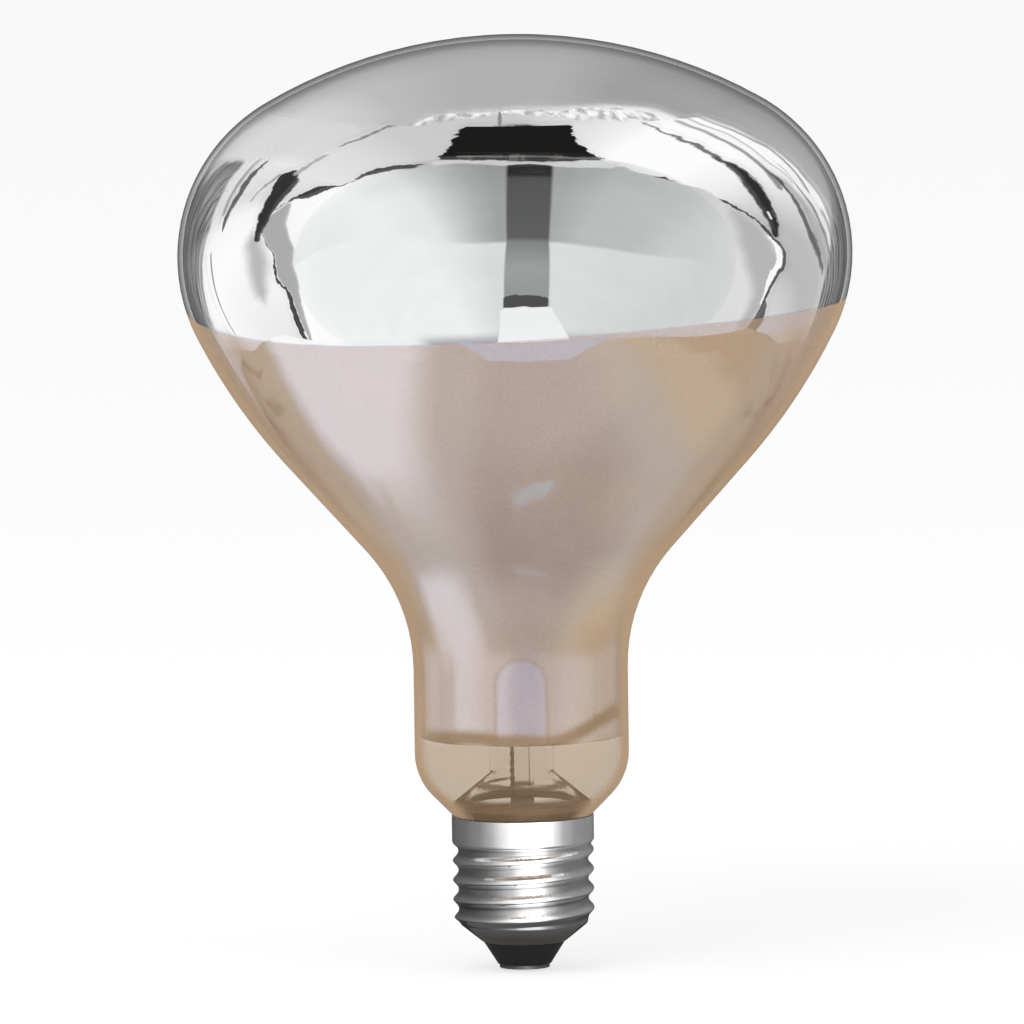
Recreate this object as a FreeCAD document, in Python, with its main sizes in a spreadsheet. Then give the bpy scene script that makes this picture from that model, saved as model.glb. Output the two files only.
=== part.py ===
import FreeCAD, Part
import math
import os
import Sketcher
from FreeCAD import Vector

# An infrared reflector heat lamp with a screw cap, standing on its centre contact.
# The frame has its origin at the tip of the contact, with +Z along the lamp's axis towards the crown.
# The camera of the product picture looks along +Y.

# Driving dimensions, in millimetres and degrees
SIZES = (
    # Blown glass bulb: crown, shoulder, bell, throat, neck and foot, from the top down
    ("bulb_diameter", 125.0),
    ("glass_wall", 1.0),
    ("crown_radius", 92.5),
    ("shoulder_radius", 32.7),
    ("shoulder_angle", 26.7),
    ("bell_radius", 110.0),
    ("flank_angle", 41.8),
    ("throat_radius", 33.7),
    ("neck_diameter", 39.8),
    ("neck_length", 15.684),
    ("foot_radius", 11.2),
    ("foot_angle", 44.5),
    ("tail_diameter", 21.6),
    ("tail_fillet", 3.0),
    ("tail_depth", 6.0),
    # Mirror film on the inside of the glass
    ("film_thickness", 0.1),
    ("film_gap", 0.03),
    ("film_drop", 14.0),
    ("film_bottom", 43.8),
    # Rolled shell of the screw cap
    ("shell_length", 23.5),
    ("sheet_thickness", 0.3),
    ("collar_diameter", 26.4),
    ("collar_length", 4.6),
    ("thread_major", 26.3),
    ("thread_minor", 24.2),
    ("thread_pitch", 3.629),
    ("thread_fade", 1.4),
    ("thread_start_angle", -52.0),
    ("shell_foot_diameter", 23.8),
    ("shell_foot_length", 3.3),
    ("shell_foot_angle", 51.0),
    ("shell_hole_diameter", 15.8),
    # Black glass insulator and the centre contact
    ("insulator_height", 4.3),
    ("insulator_tip_diameter", 9.9),
    ("insulator_flange_diameter", 20.8),
    ("insulator_inner_height", 4.8),
    ("insulator_rim_width", 1.8),
    ("contact_diameter", 9.3),
    ("contact_thickness", 0.7),
    ("eyelet_bore", 1.8),
    ("eyelet_wall", 0.4),
    ("eyelet_length", 5.2),
    ("eyelet_land", 0.9),
    ("solder_diameter", 7.6),
    ("solder_height", 0.4),
    ("rim_solder_diameter", 1.7),
    ("cement_top_drop", 0.6),
    ("cement_bottom_rise", 0.5),
    # Glass stem that closes the neck and carries the mount
    ("stem_diameter", 12.0),
    ("stem_wall", 1.0),
    ("flare_rise", 1.4),
    ("flare_lip", 1.5),
    ("flare_height", 6.5),
    ("press_level", 52.0),
    ("press_taper", 6.0),
    ("press_height", 14.0),
    ("press_width", 14.0),
    ("press_depth", 4.8),
    ("exhaust_diameter", 4.4),
    ("exhaust_wall", 0.7),
    ("exhaust_tip_level", 16.5),
    ("arbor_diameter", 3.2),
    ("button_diameter", 5.6),
    # Lead wires, from the press outwards
    ("mount_angle", -121.0),
    ("lead_offset", 3.5),
    ("seal_wire_diameter", 0.8),
    ("seal_wire_stub", 1.0),
    ("inner_lead_diameter", 1.1),
    ("inner_lead_rise", 8.0),
    ("inner_lead_tip", 3.0),
    ("lead_bend_radius", 3.0),
    ("centre_lead_diameter", 0.9),
    ("centre_lead_drop", 26.0),
    ("centre_lead_tip", 6.0),
    ("rim_lead_diameter", 0.45),
    ("rim_lead_bend_radius", 1.2),
    ("rim_lead_slack", 1.5),
    # Filament and its supports
    ("filament_level", 97.0),
    ("filament_ring_radius", 13.0),
    ("filament_arc_angle", 280.0),
    ("filament_coil_diameter", 1.4),
    ("clamp_length", 2.4),
    ("clamp_wall", 0.35),
    ("clamp_clearance", 0.12),
    ("support_drop", 12.0),
    ("support_wire_diameter", 0.4),
    ("support_seat_depth", 1.5),
    ("support_stub", 0.8),
    ("support_bend_radius", 1.5),
    ("support_loop_angle", 300.0),
    # Clearances
    ("seat_clearance", 0.05),
)
SUPPORT_COUNT = 5

# How closely the rolled surface of the cap is laid out
LEVELS_PER_PITCH = 8
POINTS_PER_TURN = 24
CREST_SHARPNESS = 0.16
SLOPE_STEP = 0.05
ROUND_DEGREE = 3
UPRIGHT_DEGREE = 2
SEWING_TOLERANCE = 0.001
JOIN_TOLERANCE = 0.000001

doc = FreeCAD.newDocument("heat_lamp")
sheet = doc.addObject("Spreadsheet::Sheet", "Sizes")
for row, (alias, value) in enumerate(SIZES, start=1):
    sheet.set(f"A{row}", alias)
    sheet.set(f"B{row}", str(value))
    sheet.setAlias(f"B{row}", alias)
doc.recompute()

# Levels and radii that several pieces share, as expressions over the sheet
PLATE_LEVEL = "Sizes.solder_height"
TIP_LEVEL = f"({PLATE_LEVEL} + Sizes.contact_thickness)"
SHELL_FOOT_LEVEL = f"({TIP_LEVEL} + Sizes.insulator_height)"
RIM_LEVEL = f"({SHELL_FOOT_LEVEL} + Sizes.shell_length)"
COLLAR_FOOT_LEVEL = f"({RIM_LEVEL} - Sizes.collar_length)"
TAIL_LEVEL = f"({RIM_LEVEL} - Sizes.tail_depth)"
COLLAR_BORE_RADIUS = "(Sizes.collar_diameter / 2 - Sizes.sheet_thickness)"
THREAD_BORE_RADIUS = "(Sizes.thread_minor / 2 - Sizes.sheet_thickness)"
GLASS_SEAT_RADIUS = f"({COLLAR_BORE_RADIUS} - Sizes.seat_clearance)"
NECK_END = (
    f"({RIM_LEVEL} + Sizes.foot_radius * sin(Sizes.foot_angle) + (Sizes.neck_diameter / 2"
    f" - Sizes.foot_radius * (1 - cos(Sizes.foot_angle)) - {GLASS_SEAT_RADIUS}) / tan(Sizes.foot_angle))"
)
NECK_TOP = f"({NECK_END} + Sizes.neck_length)"
FLANK_FOOT_RADIUS = "(Sizes.neck_diameter / 2 + Sizes.throat_radius * (1 - cos(Sizes.flank_angle)))"
FLANK_TOP_RADIUS = (
    "(Sizes.bulb_diameter / 2 - Sizes.shoulder_radius + Sizes.bell_radius * cos(Sizes.flank_angle)"
    " - (Sizes.bell_radius - Sizes.shoulder_radius) * cos(Sizes.shoulder_angle))"
)
SHOULDER_LEVEL = (
    f"({NECK_TOP} + (Sizes.throat_radius + Sizes.bell_radius) * sin(Sizes.flank_angle)"
    f" + ({FLANK_TOP_RADIUS} - {FLANK_FOOT_RADIUS}) / tan(Sizes.flank_angle)"
    " - (Sizes.bell_radius - Sizes.shoulder_radius) * sin(Sizes.shoulder_angle))"
)
CROWN_LEVEL = (
    f"({SHOULDER_LEVEL} + Sizes.crown_radius - sqrt((Sizes.crown_radius - Sizes.shoulder_radius) ^ 2"
    " - (Sizes.bulb_diameter / 2 - Sizes.shoulder_radius) ^ 2))"
)
BORE_TOP = "(Sizes.press_level - Sizes.press_taper)"
PRESS_TOP = "(Sizes.press_level + Sizes.press_height)"
SEAL_WIRE_FOOT = f"({BORE_TOP} - Sizes.seal_wire_stub)"
SEAL_WIRE_TIP = f"({PRESS_TOP} + Sizes.seal_wire_stub)"
BUTTON_LEVEL = "(Sizes.filament_level - Sizes.support_drop)"
LOOP_RADIUS = (
    "((Sizes.filament_coil_diameter + Sizes.support_wire_diameter) / 2 + Sizes.seat_clearance)"
)
CLAMP_BORE_RADIUS = "(Sizes.filament_coil_diameter / 2 + Sizes.clamp_clearance)"

sub_parts = []


def number(expression):
    """The value of an expression over the sheet."""
    return float(sheet.evalExpression(str(expression)))


def new_body(label, azimuth=None):
    """An empty body whose Label names its file, turned about the axis where azimuth is given."""
    body = doc.addObject("PartDesign::Body", label)
    body.Label = label
    if azimuth is not None:
        body.setExpression("Placement.Rotation.Angle", str(azimuth))
    sub_parts.append(body)
    return body


def origin_feature(body, role):
    """One of the body's own origin planes or axes."""
    return next(feature for feature in body.Origin.OriginFeatures if feature.Role == role)


def new_sketch(body, name, plane, level=None):
    """A sketch on one of the body's own origin planes, moved along its normal to a level."""
    sketch = body.newObject("Sketcher::SketchObject", name)
    sketch.AttachmentSupport = [(origin_feature(body, plane), "")]
    sketch.MapMode = "FlatFace"
    if level is not None:
        sketch.setExpression("AttachmentOffset.Base.z", level)
    return sketch


def bind(sketch, constraint, expression):
    """Adds a dimension whose value is an expression over the sheet."""
    index = sketch.addConstraint(Sketcher.Constraint(*constraint, number(expression)))
    sketch.setExpression(f"Constraints[{index}]", expression)


def place_point(sketch, element, end, x, z):
    """Ties a point of the sketch to two expressions. A zero puts it on the axis or the base line."""
    for kind, axis, value in (("DistanceX", -2, x), ("DistanceY", -1, z)):
        if value == "0":
            sketch.addConstraint(Sketcher.Constraint("PointOnObject", element, end, axis))
        else:
            bind(sketch, (kind, -1, 1, element, end), value)


def polygon(sketch, corners):
    """A closed outline through corners that are given as pairs of expressions."""
    points = [Vector(number(x), number(z), 0) for x, z in corners]
    count = len(points)
    for i in range(count):
        sketch.addGeometry(Part.LineSegment(points[i], points[(i + 1) % count]), False)
    for i in range(count):
        sketch.addConstraint(Sketcher.Constraint("Coincident", i, 2, (i + 1) % count, 1))
    for i, (x, z) in enumerate(corners):
        place_point(sketch, i, 1, x, z)


def circle(sketch, diameter, x="0", y="0"):
    """A circle with its centre and diameter tied to expressions."""
    centre = Vector(number(x), number(y), 0)
    disc = Part.Circle(centre, Vector(0, 0, 1), number(diameter) / 2)
    index = sketch.addGeometry(disc, False)
    place_point(sketch, index, 3, x, y)
    bind(sketch, ("Diameter", index), diameter)


def revolve(body, sketch, kind="Revolution"):
    """Turns a sketch about the lamp's axis, as added or, with Groove, removed material."""
    feature = body.newObject(f"PartDesign::{kind}", f"{sketch.Name}_{kind}")
    feature.Profile = sketch
    feature.ReferenceAxis = (sketch, ["V_Axis"])
    feature.Angle = 360
    return feature


def turned(label, corners, azimuth=None):
    """A body turned from one closed outline of radius and height pairs."""
    body = new_body(label, azimuth)
    sketch = new_sketch(body, f"{label}_outline", "XZ_Plane")
    polygon(sketch, corners)
    revolve(body, sketch)
    return body


# The bulb's outline

def bulb_outline(sketch, inset):
    """Half the bulb's outline, moved inwards by inset and closed along the axis.

    Every arc keeps its centre when the outline moves inwards, so one function draws the outside
    of the glass, its inside and both sides of the mirror film.
    """
    drop = number(inset)
    crown, shoulder, bell, throat, foot, tail_fillet = (
        number(f"Sizes.{name}")
        for name in (
            "crown_radius", "shoulder_radius", "bell_radius", "throat_radius", "foot_radius", "tail_fillet"
        )
    )
    shoulder_angle, flank_angle, foot_angle = (
        math.radians(number(f"Sizes.{name}"))
        for name in ("shoulder_angle", "flank_angle", "foot_angle")
    )
    crown_level = number(CROWN_LEVEL)
    widest = number("Sizes.bulb_diameter / 2")
    neck = number("Sizes.neck_diameter / 2")
    tail = number("Sizes.tail_diameter / 2")
    tail_level = number(TAIL_LEVEL)

    def direction(angle):
        return Vector(math.cos(angle), math.sin(angle), 0)

    crown_angle = math.asin((widest - shoulder) / (crown - shoulder))
    crown_centre = Vector(0, crown_level - crown, 0)
    shoulder_centre = crown_centre + direction(math.pi / 2 - crown_angle) * (crown - shoulder)
    bell_centre = shoulder_centre + direction(-shoulder_angle) * (shoulder - bell)
    bell_end = bell_centre + direction(-flank_angle) * bell
    flank_end_radius = neck + throat * (1 - math.cos(flank_angle))
    flank_length = (bell_end.x - flank_end_radius) / math.sin(flank_angle)
    flank_end = bell_end - direction(math.pi / 2 - flank_angle) * flank_length
    throat_centre = flank_end + direction(-flank_angle) * throat
    foot_centre = Vector(neck - foot, number(NECK_END), 0)
    cone_start = foot_centre + direction(-foot_angle) * foot
    cone_end_radius = tail + tail_fillet * (1 - math.cos(foot_angle))
    cone_length = (cone_start.x - cone_end_radius) / math.sin(foot_angle)
    cone_end = cone_start - direction(math.pi / 2 - foot_angle) * cone_length
    tail_centre = cone_end + direction(-foot_angle) * tail_fillet

    def arc(centre, radius, start, end):
        return Part.ArcOfCircle(Part.Circle(centre, Vector(0, 0, 1), radius), start, end)

    def on_arc(centre, radius, angle):
        return centre + direction(angle) * radius

    def line(start, end):
        return Part.LineSegment(start, end)

    flank_out = math.pi - flank_angle
    foot_out = math.pi - foot_angle
    apex = crown_centre + direction(math.pi / 2) * (crown - drop)
    cone_top = on_arc(foot_centre, foot - drop, -foot_angle)
    cone_bottom = on_arc(tail_centre, tail_fillet + drop, foot_out)
    tail_top = on_arc(tail_centre, tail_fillet + drop, math.pi)
    tail_bottom = Vector(tail - drop, tail_level, 0)
    base = Vector(0, tail_level, 0)
    CROWN, SHOULDER, BELL, FLANK, THROAT, NECK, FOOT, CONE, FILLET, TAIL, BOTTOM, AXIS = range(12)
    for element in (
        arc(crown_centre, crown - drop, math.pi / 2 - crown_angle, math.pi / 2),
        arc(shoulder_centre, shoulder - drop, -shoulder_angle, math.pi / 2 - crown_angle),
        arc(bell_centre, bell - drop, -flank_angle, -shoulder_angle),
        line(on_arc(bell_centre, bell - drop, -flank_angle), on_arc(throat_centre, throat + drop, flank_out)),
        arc(throat_centre, throat + drop, flank_out, math.pi),
        line(on_arc(throat_centre, throat + drop, math.pi), on_arc(foot_centre, foot - drop, 0)),
        arc(foot_centre, foot - drop, -foot_angle, 0),
        line(cone_top, cone_bottom),
        arc(tail_centre, tail_fillet + drop, foot_out, math.pi),
        line(tail_top, tail_bottom),
        line(tail_bottom, base),
        line(base, apex),
    ):
        sketch.addGeometry(element, False)
    for first, first_end, second, second_end in (
        (CROWN, 1, SHOULDER, 2),
        (SHOULDER, 1, BELL, 2),
        (BELL, 1, FLANK, 1),
        (FLANK, 2, THROAT, 1),
        (THROAT, 2, NECK, 1),
        (NECK, 2, FOOT, 2),
        (FOOT, 1, CONE, 1),
        (CONE, 2, FILLET, 1),
        (FILLET, 2, TAIL, 1),
    ):
        sketch.addConstraint(Sketcher.Constraint("Tangent", first, first_end, second, second_end))
    sketch.addConstraint(Sketcher.Constraint("Coincident", TAIL, 2, BOTTOM, 1))
    sketch.addConstraint(Sketcher.Constraint("Coincident", BOTTOM, 2, AXIS, 1))
    sketch.addConstraint(Sketcher.Constraint("Coincident", AXIS, 2, CROWN, 2))
    for upright in (NECK, TAIL, AXIS):
        sketch.addConstraint(Sketcher.Constraint("Vertical", upright))
    sketch.addConstraint(Sketcher.Constraint("Horizontal", BOTTOM))
    sketch.addConstraint(Sketcher.Constraint("PointOnObject", AXIS, 1, -2))
    sketch.addConstraint(Sketcher.Constraint("PointOnObject", CROWN, 3, -2))
    for element, radius in (
        (CROWN, f"Sizes.crown_radius - {inset}"),
        (SHOULDER, f"Sizes.shoulder_radius - {inset}"),
        (BELL, f"Sizes.bell_radius - {inset}"),
        (THROAT, f"Sizes.throat_radius + {inset}"),
        (FOOT, f"Sizes.foot_radius - {inset}"),
        (FILLET, f"Sizes.tail_fillet + {inset}"),
    ):
        bind(sketch, ("Radius", element), radius)
    bind(sketch, ("DistanceY", -1, 1, NECK, 1), NECK_TOP)
    bind(sketch, ("DistanceX", -1, 1, SHOULDER, 3), "Sizes.bulb_diameter / 2 - Sizes.shoulder_radius")
    for element, radius, angle in (
        (SHOULDER, "shoulder_radius", "shoulder_angle"),
        (BELL, "bell_radius", "flank_angle"),
        (FOOT, "foot_radius", "foot_angle"),
    ):
        fall = f"(Sizes.{radius} - {inset}) * sin(Sizes.{angle})"
        bind(sketch, ("DistanceY", element, 1, element, 3), fall)
    bind(sketch, ("DistanceX", -1, 1, NECK, 1), f"Sizes.neck_diameter / 2 - {inset}")
    bind(sketch, ("DistanceY", -1, 1, FOOT, 3), NECK_END)
    bind(sketch, ("DistanceX", -1, 1, TAIL, 1), f"Sizes.tail_diameter / 2 - {inset}")
    bind(sketch, ("DistanceY", -1, 1, TAIL, 2), TAIL_LEVEL)


def bulb_shell(label, outside, inside):
    """A body between two insets of the bulb's outline, open at the tail."""
    body = new_body(label)
    outer = new_sketch(body, f"{label}_outside", "XZ_Plane")
    bulb_outline(outer, outside)
    revolve(body, outer)
    inner = new_sketch(body, f"{label}_inside", "XZ_Plane")
    bulb_outline(inner, inside)
    revolve(body, inner, "Groove")
    return body


def trim(body, name, low, high):
    """Removes everything of a turned body between two levels."""
    sketch = new_sketch(body, name, "XZ_Plane")
    polygon(sketch, (("0", low), ("Sizes.bulb_diameter", low), ("Sizes.bulb_diameter", high), ("0", high)))
    revolve(body, sketch, "Groove")


bulb_shell("bulb_envelope", "0", "Sizes.glass_wall")
film_outside = "(Sizes.glass_wall + Sizes.film_gap)"
film_inside = "(Sizes.glass_wall + Sizes.film_gap + Sizes.film_thickness)"
mirror_film = bulb_shell("reflector_film", film_outside, film_inside)
trim(mirror_film, "film_crown_opening", f"{CROWN_LEVEL} - Sizes.film_drop", CROWN_LEVEL)
trim(mirror_film, "film_neck_opening", f"{TAIL_LEVEL} - Sizes.tail_depth", "Sizes.film_bottom")

# Screw cap

def smooth_step(share):
    """0 below 0, 1 above 1 and an even rise between them."""
    share = min(max(share, 0.0), 1.0)
    return share * share * (3 - 2 * share)


def shell_profile():
    """The function that gives the shell's outside radius at a level and an angle.

    From below it has a coned foot, a plain band, the thread and the collar. The thread climbs to
    the right, and its crests are narrower than its roots. A quadratic surface smooths the wave that
    its control points carry, which the swing makes up for.
    """
    foot_level = number(SHELL_FOOT_LEVEL)
    thread_foot = foot_level + number("Sizes.shell_foot_length")
    collar_foot = number(COLLAR_FOOT_LEVEL)
    hole = number("Sizes.shell_hole_diameter / 2")
    band = number("Sizes.shell_foot_diameter / 2")
    collar = number("Sizes.collar_diameter / 2")
    slope = math.tan(math.radians(number("Sizes.shell_foot_angle")))
    fade = number("Sizes.thread_fade")
    pitch = number("Sizes.thread_pitch")
    start_angle = math.radians(number("Sizes.thread_start_angle"))
    smoothing = (3 + math.cos(2 * math.pi / LEVELS_PER_PITCH)) / 4
    swing = number("(Sizes.thread_major - Sizes.thread_minor) / 4") / smoothing
    middle = number("(Sizes.thread_major + Sizes.thread_minor) / 4")

    def radius_at(level, angle):
        cone = hole + (level - foot_level) * slope
        if cone < band:
            return cone
        phase = 2 * math.pi * level / pitch - (angle - start_angle)
        wave = math.cos(phase) + CREST_SHARPNESS * (math.cos(2 * phase) - 1)
        rise = smooth_step((level - thread_foot) / fade)
        end = smooth_step((level - collar_foot + fade) / fade)
        radius = band + (middle + swing * wave - band) * rise
        return radius + (collar - radius) * end

    return radius_at


def shell_surface(inset):
    """The shell's outside, or with an inset the surface that lies so deep under it.

    The surface is a cubic round the axis and a quadratic along it. A closed cubic runs inside its
    control points by a known share, which the radius makes up for.
    """
    radius_at = shell_profile()
    low = number(SHELL_FOOT_LEVEL)
    height = number(COLLAR_FOOT_LEVEL) - low
    spans = round(height / number("Sizes.thread_pitch") * LEVELS_PER_PITCH)
    levels = [low + height * i / spans for i in range(spans + 1)]
    turn_step = 2 * math.pi / POINTS_PER_TURN
    outset = 3 / (2 + math.cos(turn_step))
    poles = []
    for step in range(POINTS_PER_TURN):
        angle = turn_step * step
        row = []
        for level in levels:
            below = level if level == levels[-1] else max(level - SLOPE_STEP, low)
            above = level + SLOPE_STEP
            tilt = math.atan2(radius_at(above, angle) - radius_at(below, angle), above - below)
            radius = (radius_at(level, angle) - inset * math.cos(tilt)) * outset
            lifted = level + inset * math.sin(tilt)
            row.append(Vector(radius * math.cos(angle), radius * math.sin(angle), lifted))
        poles.append(row)
    surface = Part.BSplineSurface()
    surface.buildFromPolesMultsKnots(
        poles,
        [1] * (POINTS_PER_TURN + 1),
        [UPRIGHT_DEGREE + 1] + [1] * (spans - UPRIGHT_DEGREE) + [UPRIGHT_DEGREE + 1],
        list(range(POINTS_PER_TURN + 1)),
        list(range(spans)),
        True,
        False,
        ROUND_DEGREE,
        UPRIGHT_DEGREE,
    )
    return surface.toShape()


def ring_edge(face, highest):
    """The closed edge at the top or the bottom of a face that goes once round the axis."""
    rings = [edge for edge in face.Edges if edge.isClosed()]
    return (max if highest else min)(rings, key=lambda edge: edge.CenterOfMass.z)


def rolled_shell():
    """The threaded sheet as a closed skin, carried on by the collar's straight tube."""
    outside = shell_surface(0.0)
    inside = shell_surface(number("Sizes.sheet_thickness"))
    ends = [
        Part.makeRuledSurface(ring_edge(outside, highest), ring_edge(inside, highest))
        for highest in (False, True)
    ]
    skin = Part.makeShell([outside, inside, *ends])
    skin.sewShape(SEWING_TOLERANCE)
    thread = Part.makeSolid(Part.makeShell(skin.Faces))
    foot = Vector(0, 0, number(COLLAR_FOOT_LEVEL))
    axis = Vector(0, 0, 1)
    length = number("Sizes.collar_length")
    collar = Part.makeCylinder(number("Sizes.collar_diameter / 2"), length, foot, axis)
    collar = collar.cut(Part.makeCylinder(number(COLLAR_BORE_RADIUS), length, foot, axis))
    seam = ring_edge(outside, True).Vertexes[0].Point
    collar.rotate(foot, axis, math.degrees(math.atan2(seam.y, seam.x)))
    return thread.multiFuse([collar], SEWING_TOLERANCE).Solids[0]


cap_shell = doc.addObject("Part::Feature", "cap_shell")
cap_shell.Label = "cap_shell"
cap_shell.Shape = rolled_shell()
sub_parts.append(cap_shell)

# The insulator sits on the inside of the coned foot. Its waist passes the hole in the sheet.
CONE_STANDOFF = "(Sizes.sheet_thickness + Sizes.seat_clearance)"
WAIST_RADIUS = f"(Sizes.shell_hole_diameter / 2 - {CONE_STANDOFF} * cos(Sizes.shell_foot_angle))"
WAIST_LEVEL = f"({SHELL_FOOT_LEVEL} + {CONE_STANDOFF} * sin(Sizes.shell_foot_angle))"
FLANGE_RADIUS = "Sizes.insulator_flange_diameter / 2"
FLANGE_LEVEL = f"({WAIST_LEVEL} + ({FLANGE_RADIUS} - {WAIST_RADIUS}) / tan(Sizes.shell_foot_angle))"
INSULATOR_TOP = f"({SHELL_FOOT_LEVEL} + Sizes.insulator_inner_height)"
EYELET_RADIUS = "(Sizes.eyelet_bore / 2 + Sizes.eyelet_wall)"
EYELET_SEAT = f"({EYELET_RADIUS} + Sizes.seat_clearance)"
EYELET_TOP = f"({TIP_LEVEL} + Sizes.eyelet_length)"
turned(
    "cap_insulator",
    (
        (EYELET_SEAT, TIP_LEVEL),
        ("Sizes.insulator_tip_diameter / 2", TIP_LEVEL),
        (WAIST_RADIUS, SHELL_FOOT_LEVEL),
        (WAIST_RADIUS, WAIST_LEVEL),
        (FLANGE_RADIUS, FLANGE_LEVEL),
        (FLANGE_RADIUS, INSULATOR_TOP),
        (f"{FLANGE_RADIUS} - Sizes.insulator_rim_width", INSULATOR_TOP),
        (f"{EYELET_SEAT} + Sizes.eyelet_land", EYELET_TOP),
        (EYELET_SEAT, EYELET_TOP),
    ),
)
turned(
    "centre_contact",
    (
        ("Sizes.eyelet_bore / 2", PLATE_LEVEL),
        ("Sizes.contact_diameter / 2", PLATE_LEVEL),
        ("Sizes.contact_diameter / 2", TIP_LEVEL),
        (EYELET_RADIUS, TIP_LEVEL),
        (EYELET_RADIUS, EYELET_TOP),
        ("Sizes.eyelet_bore / 2", EYELET_TOP),
    ),
)


def solder_dome():
    """The drop of solder at the tip: a shallow cap of a ball, flat against the plate."""
    body = new_body("contact_solder")
    sketch = new_sketch(body, "contact_solder_outline", "XZ_Plane")
    half = number("Sizes.solder_diameter / 2")
    height = number("Sizes.solder_height")
    radius = (half**2 + height**2) / (2 * height)
    ball = Part.Circle(Vector(0, radius, 0), Vector(0, 0, 1), radius)
    sketch.addGeometry(Part.ArcOfCircle(ball, -math.pi / 2, math.asin((height - radius) / radius)), False)
    sketch.addGeometry(Part.LineSegment(Vector(half, height, 0), Vector(0, height, 0)), False)
    sketch.addGeometry(Part.LineSegment(Vector(0, height, 0), Vector(0, 0, 0)), False)
    for i in range(3):
        sketch.addConstraint(Sketcher.Constraint("Coincident", i, 2, (i + 1) % 3, 1))
    sketch.addConstraint(Sketcher.Constraint("Horizontal", 1))
    sketch.addConstraint(Sketcher.Constraint("Coincident", 0, 1, -1, 1))
    sketch.addConstraint(Sketcher.Constraint("PointOnObject", 0, 3, -2))
    sketch.addConstraint(Sketcher.Constraint("PointOnObject", 1, 2, -2))
    bind(sketch, ("DistanceX", 1, 2, 1, 1), "Sizes.solder_diameter / 2")
    bind(sketch, ("DistanceY", -1, 1, 1, 2), "Sizes.solder_height")
    revolve(body, sketch)


solder_dome()

# The cement fills the space between the glass tail and the shell, apart from a slot for the rim lead
CONE_END_RADIUS = "(Sizes.tail_diameter / 2 + Sizes.tail_fillet * (1 - cos(Sizes.foot_angle)))"
CONE_END_LEVEL = f"({RIM_LEVEL} - ({GLASS_SEAT_RADIUS} - {CONE_END_RADIUS}) / tan(Sizes.foot_angle))"
FILLET_END_LEVEL = f"({CONE_END_LEVEL} - Sizes.tail_fillet * sin(Sizes.foot_angle))"
CEMENT_TOP = f"({RIM_LEVEL} - Sizes.cement_top_drop)"
CEMENT_FOOT = f"({TAIL_LEVEL} + Sizes.cement_bottom_rise)"
COLLAR_FIT_RADIUS = f"({COLLAR_BORE_RADIUS} - Sizes.seat_clearance)"
THREAD_FIT_RADIUS = f"({THREAD_BORE_RADIUS} - Sizes.seat_clearance)"
RIM_LEAD_RADIUS = f"((Sizes.tail_diameter / 2 + {THREAD_BORE_RADIUS}) / 2)"
RIM_LEAD_AZIMUTH = "(Sizes.mount_angle + 180)"
SLOT_WIDTH = "(Sizes.rim_solder_diameter + 2 * Sizes.seat_clearance)"
cement = turned(
    "capping_cement",
    (
        ("Sizes.tail_diameter / 2 + Sizes.seat_clearance", CEMENT_FOOT),
        (THREAD_FIT_RADIUS, CEMENT_FOOT),
        (THREAD_FIT_RADIUS, COLLAR_FOOT_LEVEL),
        (COLLAR_FIT_RADIUS, f"{COLLAR_FOOT_LEVEL} + Sizes.thread_fade / 2"),
        (COLLAR_FIT_RADIUS, CEMENT_TOP),
        (
            f"{GLASS_SEAT_RADIUS} - Sizes.cement_top_drop * tan(Sizes.foot_angle) + Sizes.seat_clearance",
            CEMENT_TOP,
        ),
        (f"{CONE_END_RADIUS} + Sizes.seat_clearance", CONE_END_LEVEL),
        ("Sizes.tail_diameter / 2 + Sizes.seat_clearance", FILLET_END_LEVEL),
    ),
    RIM_LEAD_AZIMUTH,
)


def rectangle(sketch, left, bottom, right, top):
    polygon(sketch, ((left, bottom), (right, bottom), (right, top), (left, top)))


slot = new_sketch(cement, "cement_slot", "XY_Plane", TAIL_LEVEL)
rectangle(slot, "0", f"-({SLOT_WIDTH}) / 2", "Sizes.collar_diameter / 2", f"{SLOT_WIDTH} / 2")
cement_slot_cut = cement.newObject("PartDesign::Pocket", "cement_slot_cut")
cement_slot_cut.Profile = slot
cement_slot_cut.Reversed = True
cement_slot_cut.setExpression("Length", "Sizes.tail_depth")

# Glass stem

STEM_RADIUS = "Sizes.stem_diameter / 2"
FLARE_LEVEL = f"({RIM_LEVEL} + Sizes.flare_rise)"
FLARE_RADIUS = (
    f"({GLASS_SEAT_RADIUS} + Sizes.flare_rise * tan(Sizes.foot_angle)"
    " - (Sizes.glass_wall + Sizes.seat_clearance) / cos(Sizes.foot_angle))"
)
FLARE_TOP = f"({FLARE_LEVEL} + Sizes.flare_height)"


def ellipse(sketch, width, depth):
    """An ellipse about the axis, wide along X."""
    half_width = number(f"{width} / 2")
    half_depth = number(f"{depth} / 2")
    sketch.addGeometry(Part.Ellipse(Vector(0, 0, 0), half_width, half_depth), False)
    sketch.exposeInternalGeometry(0)
    sketch.addConstraint(Sketcher.Constraint("Coincident", 0, 3, -1, 1))
    sketch.addConstraint(Sketcher.Constraint("Horizontal", 1))
    bind(sketch, ("Distance", 1), width)
    bind(sketch, ("Distance", 2), depth)


def cylinder_between(body, name, diameter, low, high, x="0", cut=False):
    """A round rod along the axis, added to a body or cut out of it."""
    sketch = new_sketch(body, f"{name}_section", "XY_Plane", low)
    circle(sketch, diameter, x)
    feature = body.newObject(f"PartDesign::{'Pocket' if cut else 'Pad'}", name)
    feature.Profile = sketch
    feature.Reversed = cut
    feature.setExpression("Length", f"{high} - ({low})")


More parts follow.
